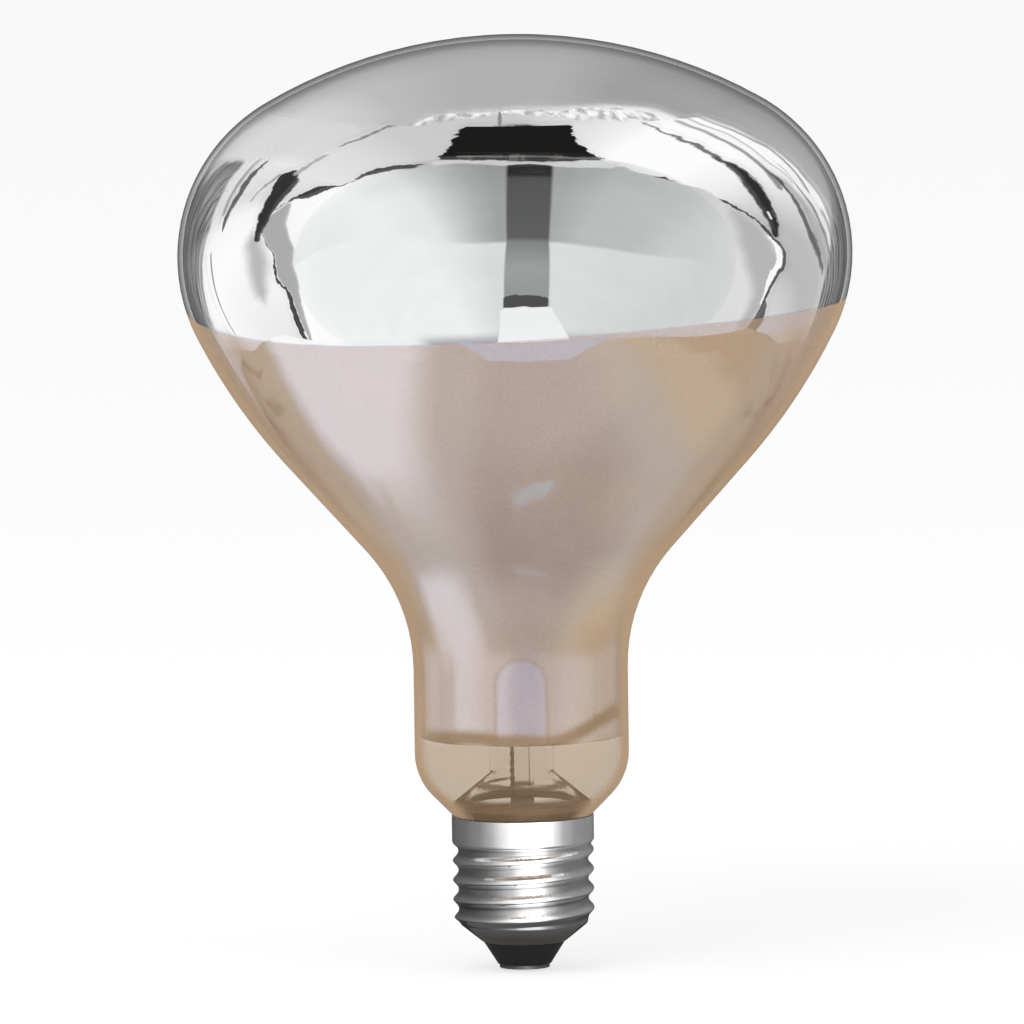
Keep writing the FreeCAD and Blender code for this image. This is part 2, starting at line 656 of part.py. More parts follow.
def glass_stem():
    """The flared tube whose top is pinched flat round the seal wires."""
    body = turned(
        "stem_tube",
        (
            ("0", FLARE_TOP),
            (STEM_RADIUS, FLARE_TOP),
            (STEM_RADIUS, BORE_TOP),
            ("0", BORE_TOP),
        ),
        "Sizes.mount_angle",
    )
    round_end = new_sketch(body, "stem_round_end", "XY_Plane", BORE_TOP)
    circle(round_end, "Sizes.stem_diameter")
    flat_end = new_sketch(body, "stem_flat_end", "XY_Plane", "Sizes.press_level")
    ellipse(flat_end, "Sizes.press_width", "Sizes.press_depth")
    taper = body.newObject("PartDesign::AdditiveLoft", "stem_taper")
    taper.Profile = round_end
    taper.Sections = [flat_end]
    press_section = new_sketch(body, "stem_press_section", "XY_Plane", "Sizes.press_level")
    ellipse(press_section, "Sizes.press_width", "Sizes.press_depth")
    press = body.newObject("PartDesign::Pad", "stem_press")
    press.Profile = press_section
    press.setExpression("Length", "Sizes.press_height")
    flare = new_sketch(body, "stem_flare_outline", "XZ_Plane")
    bore_radius = f"({STEM_RADIUS} - Sizes.stem_wall)"
    polygon(
        flare,
        (
            (f"{FLARE_RADIUS} - Sizes.flare_lip", FLARE_LEVEL),
            (FLARE_RADIUS, FLARE_LEVEL),
            (FLARE_RADIUS, f"{FLARE_LEVEL} + Sizes.stem_wall"),
            (STEM_RADIUS, FLARE_TOP),
            (bore_radius, FLARE_TOP),
        ),
    )
    revolve(body, flare)
    bore = new_sketch(body, "stem_bore", "XZ_Plane")
    rectangle(bore, "0", f"{FLARE_LEVEL}", bore_radius, BORE_TOP)
    revolve(body, bore, "Groove")
    for side in (1, -1):
        cylinder_between(
            body,
            f"seal_hole_{'left' if side > 0 else 'right'}",
            "Sizes.seal_wire_diameter + 2 * Sizes.seat_clearance",
            BORE_TOP,
            PRESS_TOP,
            f"{side} * Sizes.lead_offset",
            cut=True,
        )


glass_stem()
EXHAUST_RADIUS = "Sizes.exhaust_diameter / 2"
EXHAUST_BORE_RADIUS = f"({EXHAUST_RADIUS} - Sizes.exhaust_wall)"
EXHAUST_CONE_TOP = f"(Sizes.exhaust_tip_level + {EXHAUST_RADIUS})"
EXHAUST_TOP = f"({BORE_TOP} - Sizes.seat_clearance)"
turned(
    "exhaust_tube",
    (
        (EXHAUST_BORE_RADIUS, EXHAUST_CONE_TOP),
        ("0", "Sizes.exhaust_tip_level + Sizes.exhaust_wall"),
        ("0", "Sizes.exhaust_tip_level"),
        (EXHAUST_RADIUS, EXHAUST_CONE_TOP),
        (EXHAUST_RADIUS, EXHAUST_TOP),
        (EXHAUST_BORE_RADIUS, EXHAUST_TOP),
    ),
)

SUPPORT_STEP = f"(Sizes.filament_arc_angle / {SUPPORT_COUNT + 1})"
RING_MIDDLE = "(Sizes.mount_angle + 270)"


def support_azimuth(index):
    return f"({RING_MIDDLE} + {index - (SUPPORT_COUNT - 1) / 2} * {SUPPORT_STEP})"


def support_arbor():
    """The glass rod on the press, whose melted button holds the support wires."""
    body = new_body("support_arbor", support_azimuth(0))
    low = f"({PRESS_TOP} + Sizes.seat_clearance)"
    cylinder_between(body, "arbor_rod", "Sizes.arbor_diameter", low, BUTTON_LEVEL)
    sketch = new_sketch(body, "button_outline", "XZ_Plane")
    level = number(BUTTON_LEVEL)
    radius = number("Sizes.button_diameter / 2")
    ball = Part.Circle(Vector(0, level, 0), Vector(0, 0, 1), radius)
    sketch.addGeometry(Part.ArcOfCircle(ball, -math.pi / 2, math.pi / 2), False)
    sketch.addGeometry(Part.LineSegment(Vector(0, level + radius, 0), Vector(0, level - radius, 0)), False)
    sketch.addConstraint(Sketcher.Constraint("Coincident", 0, 2, 1, 1))
    sketch.addConstraint(Sketcher.Constraint("Coincident", 1, 2, 0, 1))
    sketch.addConstraint(Sketcher.Constraint("PointOnObject", 0, 1, -2))
    sketch.addConstraint(Sketcher.Constraint("PointOnObject", 0, 2, -2))
    sketch.addConstraint(Sketcher.Constraint("PointOnObject", 0, 3, -2))
    bind(sketch, ("DistanceY", -1, 1, 0, 3), BUTTON_LEVEL)
    bind(sketch, ("Radius", 0), "Sizes.button_diameter / 2")
    revolve(body, sketch)
    seat = new_sketch(body, "support_seat_section", "YZ_Plane", "Sizes.button_diameter / 2")
    circle(seat, "Sizes.support_wire_diameter + 2 * Sizes.seat_clearance", "0", BUTTON_LEVEL)
    hole = body.newObject("PartDesign::Pocket", "support_seat")
    hole.Profile = seat
    hole.setExpression("Length", "Sizes.support_seat_depth")
    doc.recompute()
    pattern = body.newObject("PartDesign::PolarPattern", "support_seats")
    pattern.Originals = [hole]
    pattern.Axis = (origin_feature(body, "Z_Axis"), [""])
    pattern.Occurrences = SUPPORT_COUNT
    pattern.setExpression("Angle", f"{SUPPORT_STEP} * {SUPPORT_COUNT - 1}")
    body.Tip = pattern


support_arbor()

# Wires, each swept along a path in its body's own XZ plane


def draw_path(sketch, elements):
    """Draws a line through each two points and an arc through each three, tangent to the next."""
    ends = []
    for points in elements:
        if len(points) == 2:
            sketch.addGeometry(Part.LineSegment(*points), False)
            ends.append((1, 2))
            continue
        curve = Part.Arc(*points)
        index = sketch.addGeometry(curve, False)
        forwards = sketch.getPoint(index, 1).distanceToPoint(points[0]) < JOIN_TOLERANCE
        ends.append((1, 2) if forwards else (2, 1))
    for i in range(len(elements) - 1):
        sketch.addConstraint(Sketcher.Constraint("Tangent", i, ends[i][1], i + 1, ends[i + 1][0]))


def sweep(body, path, section):
    """Sweeps a round section along a path to make a wire."""
    pipe = body.newObject("PartDesign::AdditivePipe", f"{body.Label}_pipe")
    pipe.Profile = section
    pipe.Spine = path


def arc_middle(centre, start, end):
    """The middle of the shorter arc about a centre."""
    away = (start + end) * 0.5 - centre
    return centre + away * (start.distanceToPoint(centre) / away.Length)


def jogged_wire(label, azimuth, diameter, start, end, runs, bend_radius):
    """An upright wire that steps sideways between two upright runs."""
    body = new_body(label, azimuth)
    path = new_sketch(body, f"{label}_path", "XZ_Plane")
    first, last = (Vector(number(x), number(z), 0) for x, z in (start, end))
    rising = 1 if last.y > first.y else -1
    outward = 1 if last.x > first.x else -1
    bend = number(bend_radius)
    lengths = [number(run) for run in runs]
    across = abs(last.x - first.x) - 2 * bend
    along = abs(last.y - first.y) - sum(lengths)
    turn = math.atan2(across, along) + math.asin(2 * bend / math.hypot(across, along))
    step = Vector(outward * bend * (1 - math.cos(turn)), rising * bend * math.sin(turn), 0)
    bend_in = first + Vector(0, rising * lengths[0], 0)
    bend_out = last - Vector(0, rising * lengths[1], 0)
    side = Vector(outward * bend, 0, 0)
    draw_path(
        path,
        (
            (first, bend_in),
            (bend_in, arc_middle(bend_in + side, bend_in, bend_in + step), bend_in + step),
            (bend_in + step, bend_out - step),
            (bend_out - step, arc_middle(bend_out - side, bend_out - step, bend_out), bend_out),
            (bend_out, last),
        ),
    )
    for element, point, place, run in ((0, 1, start, runs[0]), (4, 2, end, runs[1])):
        path.addConstraint(Sketcher.Constraint("Vertical", element))
        place_point(path, element, point, *place)
        bind(path, ("Distance", element), run)
    for element in (1, 3):
        bind(path, ("Radius", element), bend_radius)
    section = new_sketch(body, f"{label}_section", "XY_Plane", start[1])
    circle(section, diameter, start[0])
    sweep(body, path, section)
    return body


def hooked_wire():
    """The rim lead: down beside the stem's bore, under the tail and up again behind the cement."""
    body = new_body("rim_lead", RIM_LEAD_AZIMUTH)
    path = new_sketch(body, "rim_lead_path", "XZ_Plane")
    top, low = number(SEAL_WIRE_FOOT), number(RIM_LEAD_LOW)
    near, far = number("Sizes.lead_offset"), number(RIM_LEAD_RADIUS)
    end = number(RIM_LEAD_END)
    bend = number("Sizes.rim_lead_bend_radius")
    corners = []
    for x, inward in ((near, 1), (far, -1)):
        centre = Vector(x + inward * bend, low + bend, 0)
        upright = Vector(x, low + bend, 0)
        level = Vector(x + inward * bend, low, 0)
        corners.append((upright, arc_middle(centre, upright, level), level))
    inner, outer = corners
    draw_path(
        path,
        (
            (Vector(near, top, 0), inner[0]),
            inner,
            (inner[2], outer[2]),
            (outer[2], outer[1], outer[0]),
            (outer[0], Vector(far, end, 0)),
        ),
    )
    for element in (0, 4):
        path.addConstraint(Sketcher.Constraint("Vertical", element))
    path.addConstraint(Sketcher.Constraint("Horizontal", 2))
    place_point(path, 0, 1, "Sizes.lead_offset", SEAL_WIRE_FOOT)
    place_point(path, 4, 2, RIM_LEAD_RADIUS, RIM_LEAD_END)
    bind(path, ("DistanceY", -1, 1, 2, 1), RIM_LEAD_LOW)
    for element in (1, 3):
        bind(path, ("Radius", element), "Sizes.rim_lead_bend_radius")
    section = new_sketch(body, "rim_lead_section", "XY_Plane", SEAL_WIRE_FOOT)
    circle(section, "Sizes.rim_lead_diameter", "Sizes.lead_offset")
    sweep(body, path, section)


def support_wire(label, azimuth):
    """A thin wire that leaves the button level, bends up and ends in a loop round the filament."""
    body = new_body(label, azimuth)
    path = new_sketch(body, f"{label}_path", "XZ_Plane")
    level = number(BUTTON_LEVEL)
    start = Vector(number(SUPPORT_START), level, 0)
    bend = number("Sizes.support_bend_radius")
    loop = number(LOOP_RADIUS)
    run = number(SUPPORT_RUN)
    bend_centre = start + Vector(run, bend, 0)
    loop_centre = Vector(number("Sizes.filament_ring_radius"), number("Sizes.filament_level"), 0)
    between = loop_centre - bend_centre
    climb = math.atan2(between.y, between.x) + math.asin((bend - loop) / between.Length)
    under = Vector(math.sin(climb), -math.cos(climb), 0)

    def on_loop(turn):
        angle = climb - math.pi / 2 + turn
        return loop_centre + Vector(math.cos(angle), math.sin(angle), 0) * loop

    bend_start = start + Vector(run, 0, 0)
    bend_end = bend_centre + under * bend
    turn = math.radians(number("Sizes.support_loop_angle"))
    draw_path(
        path,
        (
            (start, bend_start),
            (bend_start, arc_middle(bend_centre, bend_start, bend_end), bend_end),
            (bend_end, on_loop(0)),
            (on_loop(0), on_loop(turn / 2), on_loop(turn)),
        ),
    )
    path.addConstraint(Sketcher.Constraint("Horizontal", 0))
    place_point(path, 0, 1, SUPPORT_START, BUTTON_LEVEL)
    place_point(path, 3, 3, "Sizes.filament_ring_radius", "Sizes.filament_level")
    bind(path, ("Distance", 0), SUPPORT_RUN)
    bind(path, ("Radius", 1), "Sizes.support_bend_radius")
    bind(path, ("Radius", 3), LOOP_RADIUS)
    span = path.addConstraint(Sketcher.Constraint("Angle", 3, turn))
    path.setExpression(f"Constraints[{span}]", "Sizes.support_loop_angle * 1deg")
    section = new_sketch(body, f"{label}_section", "YZ_Plane", SUPPORT_START)
    circle(section, "Sizes.support_wire_diameter", "0", BUTTON_LEVEL)
    sweep(body, path, section)


def ring_section(body, diameter):
    """A round section where the filament's ring crosses the body's XZ plane."""
    sketch = new_sketch(body, f"{body.Label}_section_{len(body.Group)}", "XZ_Plane")
    circle(sketch, diameter, "Sizes.filament_ring_radius", "Sizes.filament_level")
    return sketch


def filament_clamp(label, azimuth):
    """The short tube that is crimped over an end of the filament."""
    body = new_body(label, azimuth)
    for feature_type, radius in (
        ("Pad", f"{CLAMP_BORE_RADIUS} + Sizes.clamp_wall"),
        ("Pocket", CLAMP_BORE_RADIUS),
    ):
        feature = body.newObject(f"PartDesign::{feature_type}", f"{label}_{feature_type}")
        feature.Profile = ring_section(body, f"2 * ({radius})")
        feature.Midplane = True
        feature.setExpression("Length", "Sizes.clamp_length")


SUPPORT_START = "(Sizes.button_diameter / 2 - Sizes.support_seat_depth + Sizes.seat_clearance)"
SUPPORT_RUN = "(Sizes.support_seat_depth + Sizes.support_stub)"
CLAMP_HALF_ANGLE = "(Sizes.clamp_length / 2 / Sizes.filament_ring_radius * 180 / pi)"
CLAMP_ANGLE = f"(Sizes.filament_arc_angle / 2 - {CLAMP_HALF_ANGLE})"
CLAMP_ALONG = f"(Sizes.filament_ring_radius * sin({CLAMP_ANGLE}))"
CLAMP_ACROSS = f"(-Sizes.filament_ring_radius * cos({CLAMP_ANGLE}))"
LEAD_TOP = f"(Sizes.filament_level - {CLAMP_BORE_RADIUS} - Sizes.clamp_wall - Sizes.seat_clearance)"
RIM_LEAD_LOW = f"({TAIL_LEVEL} - Sizes.rim_lead_slack)"
SOLDER_RADIUS = "(Sizes.rim_solder_diameter / 2)"
SOLDER_CENTRE = f"({COLLAR_FIT_RADIUS} - {SOLDER_RADIUS})"
SOLDER_LEVEL = f"({COLLAR_FOOT_LEVEL} + {SOLDER_RADIUS} + Sizes.seat_clearance)"
RIM_LEAD_END = f"({SOLDER_LEVEL} - {SOLDER_RADIUS})"

for name, side in enumerate((1, -1), start=1):
    turned_by = 0 if side > 0 else 180
    azimuth = f"(Sizes.mount_angle + {turned_by})"
    seal_wire = new_body(f"seal_wire_{name}", azimuth)
    cylinder_between(
        seal_wire,
        f"seal_wire_{name}_rod",
        "Sizes.seal_wire_diameter",
        SEAL_WIRE_FOOT,
        SEAL_WIRE_TIP,
        "Sizes.lead_offset",
    )
    # Each inner lead leans out in the upright plane through its seal wire and its clamp
    lean_run = f"({CLAMP_ALONG} - Sizes.lead_offset)"
    lean = f"sqrt({lean_run} ^ 2 + {CLAMP_ACROSS} ^ 2)"
    lead = jogged_wire(
        f"inner_lead_{name}",
        f"{azimuth} + {side} * atan2({CLAMP_ACROSS}; {lean_run}) / 1deg",
        "Sizes.inner_lead_diameter",
        ("0", SEAL_WIRE_TIP),
        (lean, LEAD_TOP),
        ("Sizes.inner_lead_rise", "Sizes.inner_lead_tip"),
        "Sizes.lead_bend_radius",
    )
    lead.setExpression("Placement.Base.x", f"Sizes.lead_offset * cos({azimuth})")
    lead.setExpression("Placement.Base.y", f"Sizes.lead_offset * sin({azimuth})")
    filament_clamp(f"filament_clamp_{name}", f"{RING_MIDDLE} + {side} * {CLAMP_ANGLE}")

jogged_wire(
    "centre_lead",
    "Sizes.mount_angle",
    "Sizes.centre_lead_diameter",
    ("Sizes.lead_offset", SEAL_WIRE_FOOT),
    ("0", f"{PLATE_LEVEL} + Sizes.seat_clearance"),
    ("Sizes.centre_lead_drop", "Sizes.centre_lead_tip"),
    "Sizes.lead_bend_radius",
)
hooked_wire()

filament = new_body("filament", RING_MIDDLE)
coil = revolve(filament, ring_section(filament, "Sizes.filament_coil_diameter"))
coil.Midplane = True
coil.setExpression("Angle", "Sizes.filament_arc_angle")

for index in range(SUPPORT_COUNT):
    support_wire(f"support_wire_{index + 1}", support_azimuth(index))

rim_solder = doc.addObject("Part::Sphere", "rim_solder")
rim_solder.Label = "rim_solder"
rim_solder.setExpression("Radius", SOLDER_RADIUS)
rim_solder.setExpression("Placement.Base.x", f"{SOLDER_CENTRE} * cos({RIM_LEAD_AZIMUTH})")
rim_solder.setExpression("Placement.Base.y", f"{SOLDER_CENTRE} * sin({RIM_LEAD_AZIMUTH})")
rim_solder.setExpression("Placement.Base.z", SOLDER_LEVEL)
sub_parts.append(rim_solder)

# Check every object, then write one file for each piece

doc.recompute()
for item in doc.Objects:
    if "Invalid" in item.State or "Error" in item.State:
        raise RuntimeError(f"{item.Label} did not build")
for piece in sub_parts:
    if piece.Shape.isNull() or not piece.Shape.isValid():
        raise RuntimeError(f"{piece.Label} has no sound shape")
os.makedirs("parts", exist_ok=True)
for piece in sub_parts:
    piece.Shape.exportStep(f"parts/{piece.Label}.step")
    print(piece.Label, round(piece.Shape.Volume, 2))
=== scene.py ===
import math

import bpy
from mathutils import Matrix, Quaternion, Vector


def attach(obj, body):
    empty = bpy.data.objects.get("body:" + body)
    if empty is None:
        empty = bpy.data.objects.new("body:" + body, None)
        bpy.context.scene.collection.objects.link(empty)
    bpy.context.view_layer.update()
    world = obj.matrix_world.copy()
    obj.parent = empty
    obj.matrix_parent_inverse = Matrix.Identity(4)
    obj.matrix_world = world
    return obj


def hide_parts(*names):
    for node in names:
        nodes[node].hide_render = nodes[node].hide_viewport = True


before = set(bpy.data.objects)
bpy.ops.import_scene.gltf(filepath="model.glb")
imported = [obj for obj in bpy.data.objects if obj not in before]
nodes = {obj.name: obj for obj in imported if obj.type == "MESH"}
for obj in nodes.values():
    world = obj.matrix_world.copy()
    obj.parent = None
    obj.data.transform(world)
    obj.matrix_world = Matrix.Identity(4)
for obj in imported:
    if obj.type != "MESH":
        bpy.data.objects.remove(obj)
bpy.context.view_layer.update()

# An infrared reflector heat lamp on a pale floor. Lengths are in metres, in the frame of the CAD model:
# the tip of the contact at the origin, +Z up the lamp's axis and the photograph's camera looking along +Y.

MILLIMETRES = 1000.0


# Node trees

class Tree:
    """Short calls that add and link shader nodes. A value is a number, a colour or another node's output."""

    def __init__(self, owner):
        owner.use_nodes = True
        self.tree = owner.node_tree
        self.tree.nodes.clear()

    def add(self, kind, inputs=(), **settings):
        node = self.tree.nodes.new(kind)
        for name, value in settings.items():
            setattr(node, name, value)
        for key, value in dict(inputs).items():
            self.set(node.inputs[key], value)
        return node

    def set(self, socket, value):
        if isinstance(value, bpy.types.NodeSocket):
            self.tree.links.new(value, socket)
        else:
            socket.default_value = value

    def math(self, operation, *values):
        node = self.add("ShaderNodeMath", operation=operation)
        for socket, value in zip(node.inputs, values):
            self.set(socket, value)
        return node.outputs[0]

    def plus(self, first, second):
        return self.math("ADD", first, second)

    def minus(self, first, second):
        return self.math("SUBTRACT", first, second)

    def times(self, first, second):
        return self.math("MULTIPLY", first, second)

    def scaled(self, value, factor, start):
        """factor times the value, plus start."""
        return self.math("MULTIPLY_ADD", value, factor, start)

    def away(self, value, middle):
        """How far a value is from the middle, on either side."""
        return self.math("ABSOLUTE", self.minus(value, middle))

    def length(self, x, y):
        return self.math("SQRT", self.plus(self.times(x, x), self.times(y, y)))

    def bearing(self, x, y):
        """The angle round the lamp in degrees, 0 at the front and growing to the right."""
        return self.times(self.math("ARCTAN2", x, self.times(y, -1.0)), math.degrees(1.0))

    def vector(self, operation, first, second):
        inputs = {0: first, 3 if operation == "SCALE" else 1: second}
        node = self.add("ShaderNodeVectorMath", inputs, operation=operation)
        return node.outputs["Value" if operation == "DOT_PRODUCT" else "Vector"]

    def smooth(self, value, low, high, start=0.0, end=1.0):
        """start up to low, end from high on and a soft step between them. Low may be the larger number."""
        inputs = {0: value, 1: low, 2: high, 3: start, 4: end}
        return self.add("ShaderNodeMapRange", inputs, interpolation_type="SMOOTHSTEP").outputs[0]

    def fades(self, value, low, high):
        """1 below low and 0 above high."""
        return self.smooth(value, low, high, 1.0, 0.0)

    def curve(self, value, points, handles="VECTOR"):
        """A line through points, read at a value."""
        node = self.add("ShaderNodeFloatCurve", {"Value": value})
        node.mapping.use_clip = False
        line = node.mapping.curves[0].points
        while len(line) < len(points):
            line.new(points[-1][0], 0.0)
        for point, place in zip(line, points):
            point.location = place
            point.handle_type = handles
        node.mapping.update()
        return node.outputs[0]

    def blend(self, share, first, second):
        """A number between two numbers."""
        return self.add("ShaderNodeMix", {0: share, 2: first, 3: second}, data_type="FLOAT").outputs[0]

    def mix(self, share, first, second):
        """A colour between two colours."""
        return self.add("ShaderNodeMix", {0: share, 6: first, 7: second}, data_type="RGBA").outputs[2]

    def mix_shaders(self, share, first, second):
        return self.add("ShaderNodeMixShader", {0: share, 1: first, 2: second}).outputs[0]

    def noise(self, vector, scale, detail=3.0, roughness=0.5):
        inputs = {"Vector": vector, "Scale": scale, "Detail": detail, "Roughness": roughness}
        return self.add("ShaderNodeTexNoise", inputs).outputs["Fac"]

    def stretch(self, vector, scale, location=(0.0, 0.0, 0.0)):
        inputs = {"Vector": vector, "Scale": scale, "Location": location}
        return self.add("ShaderNodeMapping", inputs).outputs[0]

    def bump(self, height, distance, strength=1.0):
        inputs = {"Height": height, "Distance": distance, "Strength": strength}
        return self.add("ShaderNodeBump", inputs).outputs[0]

    def place(self):
        """The point in the frame, and its x, y and z."""
        point = self.add("ShaderNodeTexCoord").outputs["Object"]
        parts = self.add("ShaderNodeSeparateXYZ", {0: point}).outputs
        return point, parts[0], parts[1], parts[2]

    def geometry(self, output):
        return self.add("ShaderNodeNewGeometry").outputs[output]

    def facing(self, blend):
        """0 where a surface is seen head on, and 1 where it is seen edge on."""
        return self.add("ShaderNodeLayerWeight", {"Blend": blend}).outputs["Facing"]

    def clear(self, colour=(1.0, 1.0, 1.0, 1.0)):
        return self.add("ShaderNodeBsdfTransparent", {"Color": colour}).outputs[0]

    def matt(self, colour):
        return self.add("ShaderNodeBsdfDiffuse", {"Color": colour}).outputs[0]

    def glow(self, colour, strength=1.0):
        return self.add("ShaderNodeEmission", {"Color": colour, "Strength": strength}).outputs[0]

    def principled(self, **values):
        names = {
            "color": "Base Color", "metallic": "Metallic", "roughness": "Roughness", "ior": "IOR",
            "normal": "Normal", "coat": "Coat Weight", "coat_roughness": "Coat Roughness",
            "transmission": "Transmission Weight",
        }
        inputs = {names[key]: value for key, value in values.items()}
        return self.add("ShaderNodeBsdfPrincipled", inputs).outputs[0]

    def finish_with(self, shader):
        self.add("ShaderNodeOutputMaterial", {"Surface": shader})


def grey(value):
    return (value, value, value, 1.0)


# Camera: a long lens, a little above the lamp and turned by the lamp's slight lean in the picture

CAMERA_DISTANCE = 3.0
CAMERA_ELEVATION = math.radians(6.0)
CAMERA_ROLL = math.radians(0.8)
FRAME_WIDTH = 0.1899
SENSOR_WIDTH = 36.0
CLIP_START = 0.5
CLIP_END = 60.0
AIM = Vector((-0.0012, 0.0, 0.0854))

camera_data = bpy.data.cameras.new("camera")
camera_data.sensor_width = SENSOR_WIDTH
camera_data.lens = SENSOR_WIDTH * CAMERA_DISTANCE / FRAME_WIDTH
camera_data.clip_start = CLIP_START
camera_data.clip_end = CLIP_END
camera = bpy.data.objects.new("camera", camera_data)
bpy.context.scene.collection.objects.link(camera)
bpy.context.scene.camera = camera
back = Vector((0.0, -math.cos(CAMERA_ELEVATION), math.sin(CAMERA_ELEVATION)))
camera.location = AIM + back * CAMERA_DISTANCE
camera.rotation_mode = "QUATERNION"
camera.rotation_quaternion = (-back).to_track_quat("-Z", "Y") @ Quaternion((0.0, 0.0, 1.0), -CAMERA_ROLL)


# The studio round the lamp, which its mirror shows. Its panels are laid out on a map of directions seen
# from the lamp, in degrees: the zenith is the middle, X grows to the right and Y towards the camera, and
# a point's distance from the middle is its angle from the zenith. 1 is white.

LEAST_LEVEL_PART = 0.0001
NOISE_APART = 37.0
NOISE_AT = (11.0, 5.0)

world = bpy.data.worlds.new("studio")
bpy.context.scene.world = world
studio = Tree(world)
direction = studio.add("ShaderNodeTexCoord").outputs["Generated"]
dx, dy, dz = studio.add("ShaderNodeSeparateXYZ", {0: direction}).outputs
zenith_angle = studio.times(studio.math("ARCCOSINE", dz), math.degrees(1.0))
level_part = studio.math("MAXIMUM", studio.length(dx, dy), LEAST_LEVEL_PART)
spread = studio.math("DIVIDE", zenith_angle, level_part)
map_x = studio.times(dx, spread)
map_y = studio.times(dy, studio.times(spread, -1.0))
map_point = studio.add("ShaderNodeCombineXYZ", {0: map_x, 1: map_y}).outputs[0]


def wobbled(amount, scale, detail):
    """The map's X and Y, each moved about by its own noise so that an edge drawn with them is ragged."""
    found = []
    for axis, value in enumerate((map_x, map_y)):
        moved = studio.stretch(map_point, (1.0, 1.0, 1.0), (NOISE_APART * axis, *NOISE_AT))
        shift = studio.scaled(studio.noise(moved, scale, detail), amount, -amount / 2)
        found.append(studio.plus(value, shift))
    return found


STRAIGHT = (map_x, map_y)
RAGGED = wobbled(4.0, 0.30, 3.0)
FLOWING = wobbled(5.0, 0.06, 2.0)


def band(style, along, rows, soft):
    """1 between a low and a high line that run along X or Y, and 0 outside, with soft edges.

    A row is a place along the run and the two lines' levels there.
    """
    run, across = style if along == "x" else style[::-1]
    first, last = rows[0][0], rows[-1][0]
    middle = studio.curve(run, [(t, (low + high) / 2) for t, low, high in rows], "AUTO_CLAMPED")
    widths = [(t, (high - low) / 2) for t, low, high in rows]
    half = studio.curve(run, [(first - soft, -soft), *widths, (last + soft, -soft)])
    return studio.smooth(studio.minus(half, studio.away(across, middle)), -soft / 2, soft / 2)


def stroke(*points):
    """The rows of a band from its middle line and its width."""
    return [(t, middle - width / 2, middle + width / 2) for t, middle, width in points]


def painted(paint, panels):
    """The paint with panels laid over it in turn.

    A panel has its style, the axis that it runs along, its rows, the softness of its edges and its paint.
    """
    for style, along, rows, soft, value in panels.values():
        paint = studio.blend(band(style, along, rows, soft), paint, value)
    return paint


# The front wall and the ceiling beyond it are two paints that meet on a ragged seam with a dark line on
# it, thick in some places and gone in others. The front wall has one paint above a line and another
# below. A paint is given as places along X and the brightness there.

SEAM = (
    (-131, -9), (-125.8, -3.6), (-114.7, 6.2), (-103.5, 8.6), (-95.6, 0.8), (-85.4, -3.2), (-76.7, -14.1),
    (-72.3, -17.2), (-67.1, -15.5), (-62.7, -12.8), (-57.9, -8.4), (-54.7, -2.9), (-47.3, 0.8), (-43.5, 2.6),
    (-36.8, 3.3), (-28.2, 4.4), (-23.3, 6.2), (-15.9, 4.5), (-8.2, 7.0), (1.2, 9.0), (8.5, 9.3), (19.7, 4.7),
    (27.0, 7.1), (33.9, 7.7), (39.5, 7.1), (46.1, 4.1), (51.5, 1.2), (58.3, 0.4), (64.4, -2.7), (69.5, -8.0),
    (74.1, -11.6), (79.8, -16.1), (82.6, -21.2), (86.1, -25.3), (90.2, -25.1), (95.1, -20.9), (101.9, -18.1),
    (107.2, -18.7), (114.7, -20.3), (125.0, -23.0),
)
SEAM_SHADOW = (
    (-131, 4.0), (-118, 3.0), (-100, 1.6), (-85, 1.0), (-70, 0.5), (-60, 0.6), (-55, 3.0), (-50, 3.4),
    (-45, 1.0), (-40, 0.4), (-34, 2.0), (-24, 1.8), (-19, 0.2), (20, 0.4), (34, 0.3), (38, 1.4), (44, 0.2),
    (56, 0.3), (60, 1.4), (70, 1.0), (78, 1.8), (98, 2.0), (104, 1.4), (112, 0.6), (125, 0.6),
)
SEAM_SHADOW_SHADE = 0.05
WALL_LINE = ((-65, 32), (-34, 59), (-5, 67), (16, 66), (37, 63), (60, 53.5), (80, 34))
WALL_ABOVE = (
    (-90, 0.90), (-48, 1.0), (-30, 0.92), (-21, 0.70), (-13, 0.52), (-6, 0.42), (15, 0.47), (27, 0.58),
    (50, 0.60), (66, 0.70), (85, 0.74), (100, 0.74),
)
WALL_BELOW = (
    (-60, 1.0), (-40, 1.0), (-25, 0.91), (-12, 0.82), (23, 0.84), (61, 0.80), (89, 0.75), (108, 0.73),
)
CEILING = (
    (-100, 0.92), (-80, 1.0), (-66, 0.95), (-58, 0.75), (-45, 0.80), (-30, 0.73), (-18, 0.61), (0, 0.60),
    (13, 0.82), (22, 1.0), (40, 1.0), (54, 0.88), (64, 0.70), (75, 0.52), (90, 0.50), (102, 0.64),
    (120, 0.72),
)

# On the front wall, along the seam: a grey strip at the left, and at the right a dimmer end with a
# bright curl
ON_WALL = {
    "grey_strip": (FLOWING, "x", [
        (-127, -4, -1), (-117, 5, 10), (-106, 8, 14), (-98, 2, 15), (-91, -3, 14), (-87, -3, 11),
        (-80, -11, 8), (-74, -17, 2), (-68, -16, -4), (-60, -11, -8),
    ], 2.5, 0.42),
    "dim_end": (FLOWING, "x", [
        (66, -6, 2), (80, -17, 6), (92, -26, 4), (104, -19, -4), (118, -21, -8),
    ], 12.0, 0.48),
    "bright_curl": (RAGGED, "x", [
        (79, -16, -14), (84, -23, -18.5), (89, -25.5, -20.5), (95, -21, -15.5), (101, -18, -15),
        (108, -18.5, -17),
    ], 1.0, 1.0),
}

